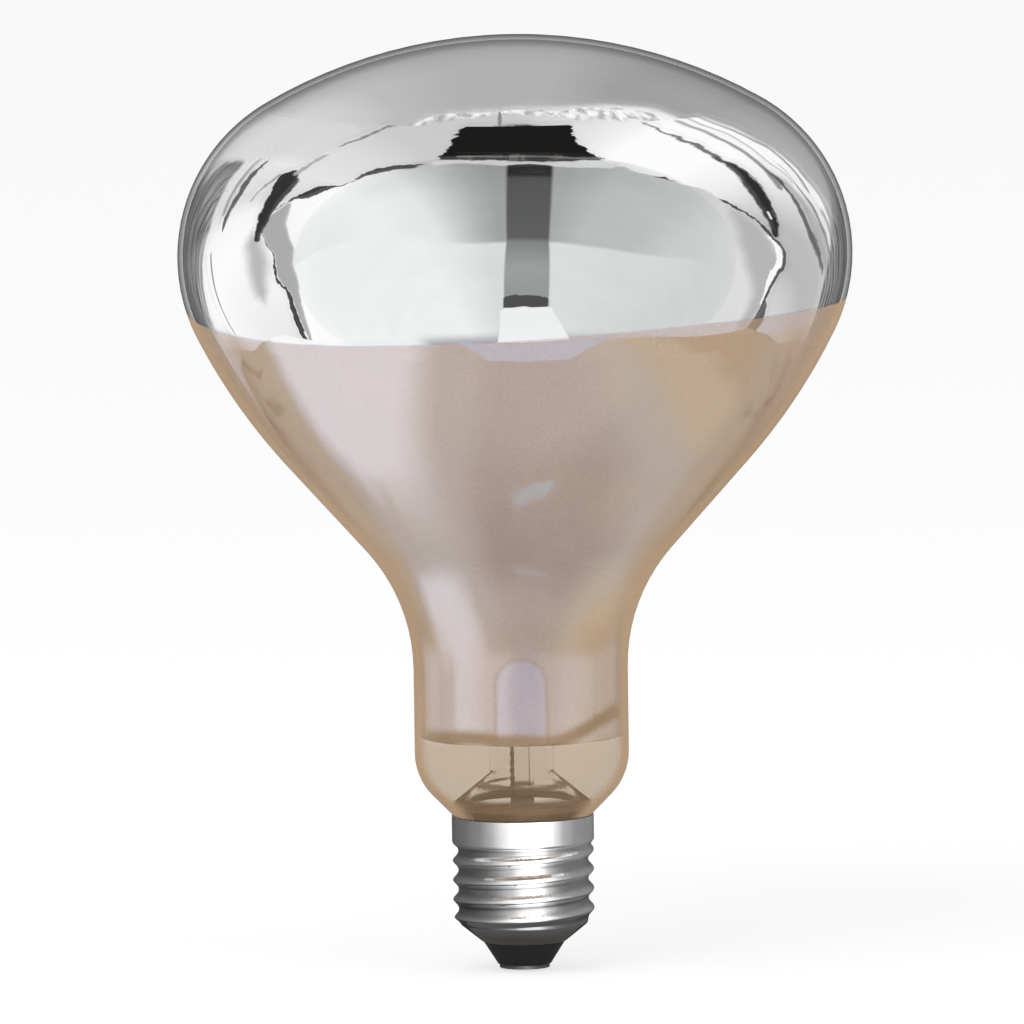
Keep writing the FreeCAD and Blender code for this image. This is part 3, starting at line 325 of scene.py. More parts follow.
# Paints that vary within their panel
FAR_SIDE = (
    (-44, 0.84), (-38, 0.72), (-20, 0.68), (-14, 0.52), (-6, 0.45), (4, 0.45), (11, 0.36), (20, 0.38),
    (40, 0.44), (50, 0.42),
)
STAND = ((11, 0.03), (19, 0.03), (22, 0.11), (64, 0.135), (67, 0.27), (84, 0.40), (101, 0.36))
fine = studio.noise(studio.stretch(map_point, (1.0, 0.6, 1.0)), 0.7, 4.0, 0.6)
streaks = studio.noise(studio.stretch(map_point, (0.9, 0.12, 1.0)), 0.55, 3.0)
faint = studio.noise(studio.stretch(map_point, (0.3, 1.0, 1.0)), 0.10, 3.0)
far_side = studio.times(studio.curve(map_x, FAR_SIDE), studio.scaled(faint, 0.14, 0.93))
streaked = studio.smooth(streaks, 0.34, 0.76, 0.09, 0.42)
sparkling = studio.smooth(fine, 0.36, 0.62, 0.42, 0.98)
stand = studio.curve(map_y, STAND)

# On the ceiling and the far side of the room: hangings, beams and creases, from left to right
ON_CEILING = {
    "far_side": (FLOWING, "x", [
        (-43, -44, -25), (-39, -57, -22), (-31, -75, -24), (-24, -90, -28), (-16, -150, -33), (-4, -150, -33),
        (6, -150, -34), (15, -150, -42), (24, -150, -48), (37, -150, -50), (46, -150, -58), (52, -90, -66),
    ], 3.0, far_side),
    "left_hangings": (FLOWING, "x", [
        (-60, -88, -61), (-50, -96, -58), (-45, -110, -56.5), (-39, -120, -55), (-31, -130, -73),
        (-22, -130, -90),
    ], 4.0, streaked),
    "left_hem": (RAGGED, "x", stroke(
        (-66, -48, 2.5), (-56.4, -43.6, 4.0), (-47.6, -42.9, 3.0), (-41.8, -41.7, 1.5),
    ), 1.2, 0.07),
    "left_hem_shade": (FLOWING, "x", stroke((-60, -50, 3.0), (-50, -49, 3.0), (-41, -47, 2.0)), 2.0, 0.42),
    "left_crease": (RAGGED, "x", stroke((-60, -33, 1.0), (-48, -28, 1.6)), 1.0, 0.35),
    "left_shade": (FLOWING, "x", [(-100, -24, -12), (-88, -25, -8), (-78, -27, -14)], 13.0, 0.50),
    "left_arc": (FLOWING, "x", stroke(
        (-85, -73.7, 2.2), (-81.4, -68.9, 2.6), (-77.1, -64.1, 2.6), (-68.2, -59.9, 2.0),
    ), 1.6, 0.22),
    "left_fold": (FLOWING, "y", stroke((-88, -59, 2.5), (-74, -58, 2.0), (-63, -60, 1.5)), 1.5, 0.40),
    "left_beam": (RAGGED, "x", [
        (-78, -20, -17), (-70, -22, -15.3), (-60, -23.5, -14.6), (-52.6, -26, -15), (-46.5, -27.5, -19),
    ], 1.4, 0.035),
    "left_beam_end": (RAGGED, "x", stroke(
        (-47, -20.5, 2.2), (-41.3, -21.5, 2.2), (-35.2, -22, 1.6),
    ), 1.6, 0.40),
    "thin_line": (RAGGED, "x", stroke(
        (-30, -25, 0.8), (-25, -26.5, 1.6), (-20, -29.5, 1.4), (-16, -32, 1.2), (-10, -30.5, 0.8),
    ), 0.9, 0.22),
    "right_curtain": (FLOWING, "y", [
        (-84, 56, 62), (-74, 59, 67), (-60, 59, 69), (-50, 57, 68), (-42, 53, 61), (-38, 51, 54),
    ], 5.0, 0.48),
    "right_pale_arc": (FLOWING, "x", stroke(
        (20, -42.5, 1.2), (30, -42, 1.4), (44, -42, 1.4), (53, -47, 1.6),
    ), 1.2, 0.55),
    "right_inner_arc": (FLOWING, "x", stroke(
        (22, -38.5, 1.4), (34.7, -36, 2.2), (43.2, -35.6, 2.6), (51.6, -36.3, 3.2), (57, -37, 3.5),
    ), 2.0, 0.26),
    "right_outer_arc": (FLOWING, "x", stroke(
        (22, -46.5, 1.0), (34, -48, 2.0), (43, -52, 2.6), (52, -56.5, 2.4),
    ), 2.0, 0.30),
    "right_fold": (FLOWING, "y", stroke(
        (-84, 49, 1.5), (-66.7, 59.9, 2.0), (-58.3, 58.0, 2.0), (-50.9, 54.1, 1.5), (-46, 47, 1.0),
    ), 1.2, 0.25),
    "right_hem": (RAGGED, "y", stroke(
        (-70, 68, 1.5), (-61.7, 70.2, 3.4), (-50.7, 69.4, 4.6), (-44.5, 63, 6.0), (-40, 55, 6.0),
        (-36, 49, 3.0),
    ), 2.5, 0.10),
    "right_hangings": (FLOWING, "x", [
        (22, -120, -84), (40, -120, -78), (52, -110, -72), (61, -96, -72), (66, -84, -74),
    ], 4.0, streaked),
    "right_beam_end": (RAGGED, "x", stroke(
        (18.2, -33, 0.9), (25.5, -27, 2.0), (32.4, -24.7, 2.4), (41.6, -22, 2.0),
    ), 1.4, 0.14),
    "right_beam": (RAGGED, "x", [
        (40, -22.5, -20.5), (48.8, -25.4, -20), (57, -26.0, -17.4), (65.2, -25.0, -16.4), (74, -24.9, -17.6),
        (78.5, -22.5, -18),
    ], 2.0, 0.03),
    "right_beam_glint": (STRAIGHT, "x", stroke((68.5, -20.5, 1.6), (71.5, -20.8, 1.6)), 0.8, 0.85),
    "right_corner": (RAGGED, "x", [
        (107, -24, -19), (112, -33, -19.5), (117, -36, -21), (122, -36, -23),
    ], 1.5, 0.12),
    "sparkling_edge": (RAGGED, "x", stroke(
        (-17, -33.5, 1.0), (-12, -33.5, 1.8), (0, -31, 1.8), (12, -36, 4.0), (18, -42, 2.4),
    ), 1.0, sparkling),
}

# Overhead: a dark hood with a pale rim, a lip and a thin rod behind it. Its stand runs down towards the
# camera, to a foot on a bright sheet.
OVERHEAD = {
    "pale_rim": (STRAIGHT, "x", [
        (-18, 3.5, 7.0), (-15, 3.5, 7.0), (0, 5.0, 12.0), (12, 5.0, 12.0), (24, 3.0, 8.5),
    ], 1.2, 0.88),
    "hood": (RAGGED, "x", [
        (-15.5, 0, 3.8), (-12, -9, 4.8), (-9.6, -17, 5.8), (-6.5, -25, 6.6), (-4.5, -28, 6.9),
        (0, -27.5, 8.0), (7.3, -28, 8.6), (9.2, -19.6, 8.2), (11.8, -10.4, 7.0), (15.4, -2.5, 5.4),
        (19, 2.5, 4.4),
    ], 1.2, 0.012),
    "lip": (STRAIGHT, "x", [(-12, 1.2, 2.4), (0, 3.4, 4.8), (12, 3.4, 4.8), (20, 1.4, 2.4)], 1.0, 0.20),
    "stand": (STRAIGHT, "y", [
        (11.3, -1.6, 9.3), (17, -1.8, 9.9), (65, -3.4, 14.3), (103.5, -7.3, 21.0), (111, -8.4, 23.3),
    ], 1.2, stand),
    "stand_foot": (RAGGED, "y", [(103.0, -7.2, 20.0), (110.5, -8.6, 22.5)], 1.2, 0.09),
    "bright_sheet": (STRAIGHT, "y", [
        (112, -11, 26), (118, -12, 36), (126, -14, 51), (136, -16, 60),
    ], 2.5, 1.0),
    "rod": (STRAIGHT, "x", [(-1.8, -32, -27), (-1.6, -32, -27)], 0.2, 0.28),
}

wall_line = studio.curve(map_x, WALL_LINE, "AUTO_CLAMPED")
above_line = studio.smooth(studio.minus(wall_line, map_y), -1.5, 1.5)
paint = studio.blend(above_line, studio.curve(map_x, WALL_BELOW), studio.curve(map_x, WALL_ABOVE))
paint = studio.times(paint, studio.scaled(faint, 0.12, 0.94))
past_seam = studio.minus(studio.curve(RAGGED[0], SEAM, "AUTO_CLAMPED"), RAGGED[1])
paint = painted(paint, ON_WALL)
paint = studio.blend(studio.smooth(past_seam, -0.5, 0.5), paint, studio.curve(map_x, CEILING))
paint = painted(paint, ON_CEILING)
shadow_width = studio.curve(map_x, SEAM_SHADOW)
seam_shadow = studio.smooth(studio.minus(shadow_width, studio.away(past_seam, shadow_width)), 0.0, 0.8)
paint = studio.blend(seam_shadow, paint, SEAM_SHADOW_SHADE)
paint = painted(paint, OVERHEAD)

# Below the level of the lamp the studio is tinted, side by side. A side has the two bearings between
# which it begins, and its colour. Their upper edge is given by bearing, in degrees from the zenith.
FIRST_SIDE = (0.42, 0.36, 0.29, 1.0)
SIDES = (
    (-118, -108, (1.0, 1.0, 1.0, 1.0)),
    (-44, -34, (0.46, 0.46, 0.48, 1.0)),
    (66, 86, (0.64, 0.54, 0.39, 1.0)),
    (124, 140, (0.39, 0.31, 0.24, 1.0)),
)
SIDES_TOP = (
    (-181, 108), (-135, 112), (-118, 126), (-100, 130), (100, 130), (125, 116), (140, 110), (181, 108),
)

turn = studio.bearing(dx, dy)
turn = studio.plus(turn, studio.scaled(studio.noise(direction, 2.0, 3.0), 8.0, -4.0))
tinted_sides = FIRST_SIDE
for start, end, colour in SIDES:
    tinted_sides = studio.mix(studio.smooth(turn, start, end), tinted_sides, colour)
below_top = studio.minus(zenith_angle, studio.curve(turn, SIDES_TOP))
studio_colour = studio.mix(studio.smooth(below_top, -4.0, 5.0), paint, tinted_sides)

# What lies straight behind the lamp is dark, which gives the glass its dark outline
BEHIND = (0.0, math.cos(CAMERA_ELEVATION), -math.sin(CAMERA_ELEVATION))
DARK_INSIDE = math.cos(math.radians(9.0))
DARK_OUTSIDE = math.cos(math.radians(24.0))
DARK_BEHIND = grey(0.12)

ray = studio.add("ShaderNodeVectorMath", {0: direction}, operation="NORMALIZE").outputs[0]
dark_share = studio.smooth(studio.vector("DOT_PRODUCT", ray, BEHIND), DARK_OUTSIDE, DARK_INSIDE)
studio_colour = studio.mix(dark_share, studio_colour, DARK_BEHIND)

# Reflections see the studio, the camera sees white, and surfaces are lit by plain light
AMBIENT = grey(0.85)
WHITE = grey(1.0)

path = studio.add("ShaderNodeLightPath").outputs
plain = studio.add("ShaderNodeBackground", {"Color": AMBIENT, "Strength": 1.0}).outputs[0]
white = studio.add("ShaderNodeBackground", {"Color": WHITE, "Strength": 1.0}).outputs[0]
mirrored = studio.add("ShaderNodeBackground", {"Color": studio_colour, "Strength": 1.0}).outputs[0]
shown = studio.mix_shaders(path["Is Glossy Ray"], plain, mirrored)
seen_direct = studio.math("MAXIMUM", path["Is Camera Ray"], path["Is Transmission Ray"])
shown = studio.mix_shaders(seen_direct, shown, white)
studio.add("ShaderNodeOutputWorld", {"Surface": shown})


# The stage: a floor, and a table top, cards and a screen that only reflections show

FLOOR_HALF = 12.0
FLOOR_CORNERS = ((-1, -1), (1, -1), (1, 1), (-1, 1))
FLOOR_MATT = grey(0.92)
FLOOR_GLOW = 0.7


def flat_mesh(name, corners, sides=4):
    """A mesh of flat faces for the stage, each from so many corners in turn."""
    mesh = bpy.data.meshes.new(name)
    mesh.from_pydata(corners, [], [tuple(range(i, i + sides)) for i in range(0, len(corners), sides)])
    made = bpy.data.objects.new(name, mesh)
    bpy.context.scene.collection.objects.link(made)
    return made


def stage_finish(piece):
    """A material of the piece's own name on it, as a tree to fill."""
    made = bpy.data.materials.new(piece.name)
    piece.data.materials.append(made)
    return Tree(made)


def reflection_only(card):
    card.visible_camera = False
    card.visible_diffuse = False
    card.visible_shadow = False
    card.visible_transmission = False


def pale_floor():
    """A matt floor that shows nearly white from above, and doesn't show from below."""
    corners = [(x * FLOOR_HALF, y * FLOOR_HALF, 0.0) for x, y in FLOOR_CORNERS]
    floor = flat_mesh("floor", corners)
    floor.visible_glossy = False
    tree = stage_finish(floor)
    path = tree.add("ShaderNodeLightPath").outputs
    seen = tree.math("MAXIMUM", path["Is Camera Ray"], path["Is Transmission Ray"])
    lit = tree.mix_shaders(tree.times(seen, FLOOR_GLOW), tree.matt(FLOOR_MATT), tree.glow(WHITE))
    tree.finish_with(tree.mix_shaders(tree.geometry("Backfacing"), lit, tree.clear()))


# The table top as the bell and the cap mirror it: a pale sheet at the left, golden at the right and dim
# behind. Its places are in millimetres from the lamp's axis, to the right and back, and are moved about
# by noise. A strip has the two places between which it begins, and its colour. The outline is given by
# bearing in degrees and radius.

TABLE_OUTLINE = (
    (0, 0.18), (45, 0.20), (90, 0.25), (135, 0.28), (180, 0.30), (225, 0.28), (270, 0.25), (315, 0.20),
)
TABLE_NEAR = (0.30, 0.33, 0.37, 1.0)
TABLE_MIDDLE = (0.21, 0.22, 0.26, 1.0)
TABLE_STRIPS = (
    (-14, -42, (0.43, 0.45, 0.45, 1.0)),
    (42, 90, (0.45, 0.47, 0.42, 1.0)),
    (94, 122, (0.56, 0.46, 0.33, 1.0)),
    (148, 168, (0.42, 0.31, 0.22, 1.0)),
)
TABLE_BACK = (0.42, 0.36, 0.28, 1.0)
TABLE_FAR = (0.24, 0.20, 0.17, 1.0)
CREASE = (0.05, 0.04, 0.03, 1.0)
SHEET_COLOUR = (0.96, 0.97, 0.96, 1.0)
SHEET_RIGHT_EDGE = (
    (-200, -100), (-142, -90), (-111, -80), (-86, -76), (-64, -70), (-42, -63), (-19, -58), (20, -66),
    (90, -80),
)
SHEET_BACK_EDGE = (
    (-250, 50), (-180, 46), (-120, 48), (-95, 38), (-80, 16), (-65, 3), (-50, -5), (0, -20),
)
MARK_COLOUR = (0.27, 0.47, 0.57, 1.0)
MARK_RIGHT = 9.5
MARK_FRONT = 40.0
MARK_DROOP = -0.05
SHADOW = grey(0.10)
SHADOW_INSIDE = 0.022
SHADOW_OUTSIDE = 0.030


def table_top():
    rim = [(r * math.sin(math.radians(a)), -r * math.cos(math.radians(a)), 0.0) for a, r in TABLE_OUTLINE]
    table = flat_mesh("table_top", rim, len(rim))
    reflection_only(table)
    tree = stage_finish(table)
    point, x, y, _ = tree.place()
    drift = tree.scaled(tree.noise(point, 45.0, 3.0), 12.0, -6.0)
    across = tree.scaled(x, MILLIMETRES, drift)
    behind = tree.scaled(y, MILLIMETRES, drift)
    colour = tree.mix(tree.smooth(behind, -75.0, -32.0), TABLE_NEAR, TABLE_MIDDLE)
    for start, end, shade in TABLE_STRIPS:
        colour = tree.mix(tree.smooth(across, start, end), colour, shade)
    colour = tree.mix(tree.smooth(behind, 30.0, 80.0), colour, TABLE_BACK)
    colour = tree.mix(tree.smooth(behind, 110.0, 200.0), colour, TABLE_FAR)

    crease = tree.smooth(tree.noise(tree.stretch(point, (1.0, 0.3, 1.0)), 22.0, 3.0), 0.54, 0.64)
    crease = tree.times(crease, tree.smooth(behind, 60.0, 120.0, 0.0, 0.8))
    colour = tree.mix(crease, colour, CREASE)

    past_right = tree.minus(across, tree.curve(behind, SHEET_RIGHT_EDGE))
    past_back = tree.minus(behind, tree.curve(across, SHEET_BACK_EDGE))
    sheet = tree.times(tree.fades(past_right, -24.0, 22.0), tree.fades(past_back, -22.0, 16.0))
    colour = tree.mix(sheet, colour, SHEET_COLOUR)

    # A small mark in front with two long wings, and the shadow round the lamp's foot
    wing = tree.math("ABSOLUTE", tree.scaled(x, MILLIMETRES, -MARK_RIGHT))
    from_line = tree.scaled(wing, MARK_DROOP, tree.scaled(y, MILLIMETRES, MARK_FRONT))
    from_line = tree.math("ABSOLUTE", from_line)
    mark = tree.times(tree.fades(wing, 8.0, 17.0), tree.fades(from_line, 0.6, 2.6))
    colour = tree.mix(mark, colour, MARK_COLOUR)
    colour = tree.mix(tree.fades(tree.length(x, y), SHADOW_INSIDE, SHADOW_OUTSIDE), colour, SHADOW)
    tree.finish_with(tree.glow(colour))


# Two cards in front of the lamp: a small upright one, and a pale one on the table

BLUE_GREY = (0.43, 0.57, 0.73, 1.0)
UPRIGHT_CARD_AT = -0.115
# Two faces, by how far right and how high each corner is
UPRIGHT_CARD = (
    (-0.036, 0.064), (0.066, 0.064), (0.046, 0.034), (-0.028, 0.045),
    (-0.028, 0.045), (0.046, 0.034), (0.024, 0.014), (0.0, 0.016),
)
PALE_CARD = ((-0.020, -0.18, 0.0), (0.060, -0.18, 0.0), (0.080, -0.40, 0.0), (-0.028, -0.40, 0.0))


def reflected_card(name, colour, corners):
    card = flat_mesh(name, corners)
    reflection_only(card)
    tree = stage_finish(card)
    tree.finish_with(tree.glow(colour))


# A screen close round the cap, lit in front and dark at the sides. Only its inside shows. Its light is
# given by bearing, in degrees.

SCREEN_RADIUS = 0.018
SCREEN_TOP = 0.030
SCREEN_STEP = 15
SCREEN_DIM_BELOW = 0.004
SCREEN_FULL_ABOVE = 0.014
SCREEN_DIM = 0.35
SCREEN_LIGHT = (
    (-180, 0.10), (-116, 0.10), (-90, 0.13), (-69, 0.16), (-48, 0.27), (-34, 0.50), (-14, 1.2), (2, 2.6),
    (20, 2.6), (32, 1.1), (44, 0.50), (60, 0.32), (100, 0.26), (125, 0.13), (180, 0.10),
)


def cap_screen():
    corners = []
    for a in range(-180, 180, SCREEN_STEP):
        ends = [math.radians(a), math.radians(a + SCREEN_STEP)]
        (x1, y1), (x2, y2) = [(SCREEN_RADIUS * math.sin(t), -SCREEN_RADIUS * math.cos(t)) for t in ends]
        corners += [(x1, y1, 0.0), (x2, y2, 0.0), (x2, y2, SCREEN_TOP), (x1, y1, SCREEN_TOP)]
    screen = flat_mesh("cap_screen", corners)
    reflection_only(screen)
    tree = stage_finish(screen)
    _, x, y, z = tree.place()
    full = tree.smooth(z, SCREEN_DIM_BELOW, SCREEN_FULL_ABOVE, SCREEN_DIM, 1.0)
    light = tree.times(tree.curve(tree.bearing(x, y), SCREEN_LIGHT), full)
    tree.finish_with(tree.mix_shaders(tree.geometry("Backfacing"), tree.clear(), tree.glow(WHITE, light)))


pale_floor()
table_top()
reflected_card("upright_card", BLUE_GREY, [(x, UPRIGHT_CARD_AT, z) for x, z in UPRIGHT_CARD])
reflected_card("pale_card", WHITE, list(PALE_CARD))
cap_screen()


# Soft lamps

LAMPS_AIM = Vector((0.0, 0.0, 0.09))


def area_lamp(name, azimuth, elevation, distance, size, energy):
    """A round lamp that lights surfaces and shows in no reflection. Angles are in degrees."""
    data = bpy.data.lights.new(name, "AREA")
    data.shape = "DISK"
    data.size = size
    data.energy = energy
    lamp = bpy.data.objects.new(name, data)
    bpy.context.scene.collection.objects.link(lamp)
    a, e = math.radians(azimuth), math.radians(elevation)
    away = Vector((math.sin(a) * math.cos(e), -math.cos(a) * math.cos(e), math.sin(e)))
    lamp.location = LAMPS_AIM + away * distance
    lamp.rotation_mode = "QUATERNION"
    lamp.rotation_quaternion = (-away).to_track_quat("-Z", "Y")
    lamp.visible_glossy = False
    lamp.visible_camera = False


area_lamp("key", azimuth=-35, elevation=50, distance=1.4, size=0.9, energy=9.0)
area_lamp("fill", azimuth=50, elevation=30, distance=1.6, size=0.9, energy=5.0)


# Bulb glass: bare over the crown, lacquered below its widest line, and amber below the mirror's foot

BULB_MIDDLE = (0.0, 0.0, 0.10)
FILM_FOOT = 0.0438
LEAST_RADIUS = 0.001
GLASS_IOR = 1.5
GLASS_TINT = grey(0.985)
GLASS_RIM_TINT = grey(0.10)
INNER_TINT = grey(0.99)
INNER_AMBER = (0.845, 0.815, 0.775, 1.0)

LACQUER_LEVEL = 0.1245
LACQUER_LEAN = 0.0004
LACQUER_DIP = -0.0028
LACQUER_BOW = 0.0012
LACQUER_SKEW = 0.00276
LACQUER_RAGGED = 0.0006
TAN_DARK = (0.62, 0.405, 0.22, 1.0)
TAN_PALE = (0.69, 0.46, 0.26, 1.0)
TAN_SPECK = (0.30, 0.18, 0.08, 1.0)
SPECK_SHARE = 0.16
LACQUER_TINT = (0.85, 0.89, 0.99, 1.0)
LACQUER_AMBER = (0.82, 0.795, 0.765, 1.0)
COVER_THIN = 0.42
COVER_THICK = 0.49
COVER_AMBER = 0.24
RIM_STARTS = ((0.03, 0.50), (0.07, 0.46), (0.09, 0.62), (0.17, 0.64))
RIM_WIDTH = 0.24
RIM_GREY = (0.10, 0.11, 0.13, 1.0)
RIM_GREY_SHARE = 0.42


def round_the_axis(tree, x, y):
    """The sine and cosine of the angle round the lamp, with the cosine 1 at the front."""
    radius = tree.math("MAXIMUM", tree.length(x, y), LEAST_RADIUS)
    return tree.math("DIVIDE", x, radius), tree.math("DIVIDE", y, tree.times(radius, -1.0))


def lacquer_line(tree, right, front):
    """The level of the lacquer's upper edge, which dips a little at the front and at the left."""
    level = tree.scaled(right, LACQUER_LEAN, LACQUER_LEVEL)
    level = tree.scaled(front, LACQUER_DIP, level)
    level = tree.scaled(tree.times(front, front), LACQUER_BOW, level)
    return tree.scaled(tree.times(right, front), LACQUER_SKEW, level)


def bare_glass(tree, point):
    ripple = tree.noise(tree.stretch(point, (1.0, 1.0, 0.6)), 28.0, 2.0)
    normal = tree.bump(ripple, 0.00012, 0.5)
    tint = tree.mix(tree.smooth(tree.facing(0.35), 0.50, 0.95), GLASS_TINT, GLASS_RIM_TINT)
    gloss_inputs = {"Color": WHITE, "Roughness": 0.01, "Normal": normal}
    gloss = tree.add("ShaderNodeBsdfGlossy", gloss_inputs).outputs[0]
    fresnel = tree.add("ShaderNodeFresnel", {"IOR": GLASS_IOR, "Normal": normal}).outputs[0]
    return tree.mix_shaders(fresnel, tree.clear(tint), gloss)


def lacquer(tree, point, z, below_film, from_outside):
    """Satin tan over tinted glass, with clouds and fine specks, and denser where it is seen edge on."""
    speckle = tree.noise(point, 1500.0, 3.0)
    cloud = tree.noise(tree.stretch(point, (1.0, 1.0, 0.5)), 30.0, 4.0)
    tan = tree.mix(tree.smooth(cloud, 0.3, 0.7), TAN_DARK, TAN_PALE)
    tan = tree.mix(tree.smooth(speckle, 0.30, 0.72), tree.mix(SPECK_SHARE, tan, TAN_SPECK), tan)
    satin = tree.principled(
        color=tan,
        roughness=tree.scaled(speckle, 0.14, 0.34),
        coat=0.3,
        coat_roughness=0.08,
        normal=tree.bump(tree.noise(point, 320.0, 3.0), 0.00003, 0.4),
    )
    tinted = tree.clear(tree.mix(below_film, LACQUER_TINT, LACQUER_AMBER))
    cover = tree.blend(below_film, tree.smooth(cloud, 0.2, 0.8, COVER_THIN, COVER_THICK), COVER_AMBER)
    coat = tree.mix_shaders(tree.times(cover, from_outside), tinted, satin)
    rim_start = tree.curve(z, RIM_STARTS)
    edge_on = tree.smooth(tree.facing(0.5), rim_start, tree.plus(rim_start, RIM_WIDTH))
    thick = tree.matt(tree.mix(RIM_GREY_SHARE, tan, RIM_GREY))
    return tree.mix_shaders(tree.times(edge_on, from_outside), coat, thick)


def bulb_glass(tree):
    point, x, y, z = tree.place()
    right, front = round_the_axis(tree, x, y)
    from_middle = tree.vector("SUBTRACT", point, BULB_MIDDLE)
    outward = tree.vector("DOT_PRODUCT", tree.geometry("True Normal"), from_middle)
    is_outside = tree.math("GREATER_THAN", outward, 0.0)
    from_outside = tree.minus(1.0, tree.geometry("Backfacing"))
    ragged_level = tree.scaled(tree.noise(point, 90.0, 2.0), 0.0012, z)
    below_film = tree.fades(ragged_level, FILM_FOOT, FILM_FOOT + 0.0014)
    above_lacquer = tree.minus(z, lacquer_line(tree, right, front))
    above_lacquer = tree.scaled(tree.noise(point, 60.0, 3.0), LACQUER_RAGGED, above_lacquer)
    lacquered = tree.fades(above_lacquer, 0.0002, 0.0005)
    coat = lacquer(tree, point, z, below_film, from_outside)
    skin = tree.mix_shaders(lacquered, bare_glass(tree, point), coat)
    inner_wall = tree.clear(tree.mix(below_film, INNER_TINT, INNER_AMBER))
    tree.finish_with(tree.mix_shaders(is_outside, inner_wall, skin))


# Mirror film: bright aluminium that thins out towards the crown, rougher in the neck and darkened there by
# painted shade, with painted reflections in the neck and a dark wavering line along its foot that rises at
# the right

FOOT_WAVE = 0.0036
FOOT_RISE = 0.0040
FOOT_LINE = FILM_FOOT + 0.0010
FOOT_LINE_SHADE = 0.08
# Painted shade by height: the film darker in the neck and a little darker over the crown
FILM_PAINTED_SHADE = ((0.04, 0.80), (0.054, 0.78), (0.074, 0.95), (0.118, 0.95), (0.126, 0.90), (0.17, 0.88))
FILM_ROUGHNESS = (
    (0.04, 0.24), (0.066, 0.22), (0.080, 0.10), (0.092, 0.055), (0.118, 0.050), (0.1235, 0.018),
    (0.16, 0.018),
)
NECK_FADES_FROM = 0.060
NECK_FADES_TO = 0.072
RIGHT_FADES_TO = 0.080
TONGUE_HALF_WIDTH = 0.0047
TONGUE_TOP = 0.0552
# Painted reflections and shade in the neck's film: the tongue and its rim, the front's middle, the left and
# right
TONGUE_RIM_SHADE = 0.74
TONGUE_PAINTED_REFLECTION = (0.84, 0.88, 0.97, 1.0)
NECK_FRONT_PAINTED_SHADE = (0.74, 0.70, 0.68, 1.0)
NECK_LEFT_PAINTED_REFLECTION = (0.68, 0.61, 0.53, 1.0)
RIGHT_PAINTED_REFLECTION = (1.0, 0.93, 0.80, 1.0)
CROWN_TINT = (0.98, 1.0, 1.0, 1.0)
FILM_THINS_FROM = 0.148
FILM_THIN_FROM = 0.160
THIN_COVER = 0.35


def film_colour_with_painted_reflections(tree, right, x, z, in_front, neck, tongue):
    """The mirror's colour, with painted shade and painted reflections in the neck, nearly white over the
    crown.
    """
    middle = tree.times(in_front, tree.fades(tree.math("ABSOLUTE", x), 0.005, 0.011))
    tint = tree.mix(middle, WHITE, NECK_FRONT_PAINTED_SHADE)
    tint = tree.mix(tree.times(in_front, tree.fades(tongue, -0.0004, 0.0002)), tint, TONGUE_PAINTED_REFLECTION)
    tint = tree.mix(tree.times(tree.fades(right, -0.95, -0.60), neck), tint, NECK_LEFT_PAINTED_REFLECTION)
    at_right = tree.times(tree.smooth(right, 0.25, 0.75), tree.fades(z, NECK_FADES_FROM, RIGHT_FADES_TO))
    tint = tree.mix(at_right, tint, RIGHT_PAINTED_REFLECTION)
    return tree.mix(tree.smooth(z, 0.116, 0.124), tint, CROWN_TINT)


def mirror_film(tree):
    point, x, y, z = tree.place()
    right, front = round_the_axis(tree, x, y)
    wavy = tree.scaled(tree.noise(point, 70.0, 3.0), FOOT_WAVE, tree.minus(z, FOOT_WAVE / 2))
    from_foot = tree.minus(wavy, tree.smooth(right, 0.25, 1.0, 0.0, FOOT_RISE))
    foot_line = tree.smooth(tree.away(from_foot, FOOT_LINE), 0.0003, 0.0024, FOOT_LINE_SHADE, 1.0)

    # A painted reflection in the front of the neck: a tongue with a round top, paler than the film round it,
    # with a darker rim
    neck = tree.fades(z, NECK_FADES_FROM, NECK_FADES_TO)
    in_front = tree.times(tree.smooth(front, 0.2, 0.5), neck)
    above_tongue = tree.math("MAXIMUM", tree.minus(z, TONGUE_TOP), 0.0)
    tongue = tree.minus(tree.length(x, above_tongue), TONGUE_HALF_WIDTH)
    tongue_rim = tree.smooth(tree.math("ABSOLUTE", tongue), 0.0001, 0.0008, TONGUE_RIM_SHADE, 1.0)

    # The film's shade: painted shade by height, times the dark line along the foot and the tongue's darker
    # rim
    shade = tree.times(tree.curve(z, FILM_PAINTED_SHADE), foot_line)
    shade = tree.times(shade, tree.blend(in_front, 1.0, tongue_rim))
    wave = tree.noise(tree.stretch(point, (1.0, 1.0, 1.6)), 16.0, 2.0)
    mirror = tree.principled(
        color=tree.vector("SCALE", film_colour_with_painted_reflections(tree, right, x, z, in_front, neck, tongue), shade),
        metallic=1.0,
        roughness=tree.curve(z, FILM_ROUGHNESS),
        normal=tree.bump(wave, 0.0003, 0.30),
    )
    ragged = tree.scaled(tree.noise(point, 90.0, 4.0), 0.002, -0.001)
    cover = tree.smooth(tree.plus(z, ragged), FILM_THINS_FROM, FILM_THIN_FROM, 1.0, THIN_COVER)
    cover = tree.times(cover, tree.smooth(wavy, FILM_FOOT - 0.0012, FILM_FOOT + 0.0006))
    tree.finish_with(tree.mix_shaders(cover, tree.clear(), mirror))


# Cap: satin silver plate, with painted shade in the roots of the thread, dull and brownish round its foot

PLATE_DARK = grey(0.82)
PLATE_BRIGHT = grey(0.93)
PLATE_FOOT = (0.42, 0.37, 0.30, 1.0)
PLATE_FOOT_SHARE = 0.75
CAP_FOOT_LOW = 0.0070
CAP_FOOT_HIGH = 0.0098
# Painted shade in the roots of the thread
ROOT_PAINTED_SHADE = (0.10, 0.09, 0.08, 1.0)
ROOT_SHADE_INSIDE = 0.0120
ROOT_SHADE_OUTSIDE = 0.0129
ROOT_SHADE_FROM = 0.009
ROOT_SHADE_FULL_FROM = 0.0105


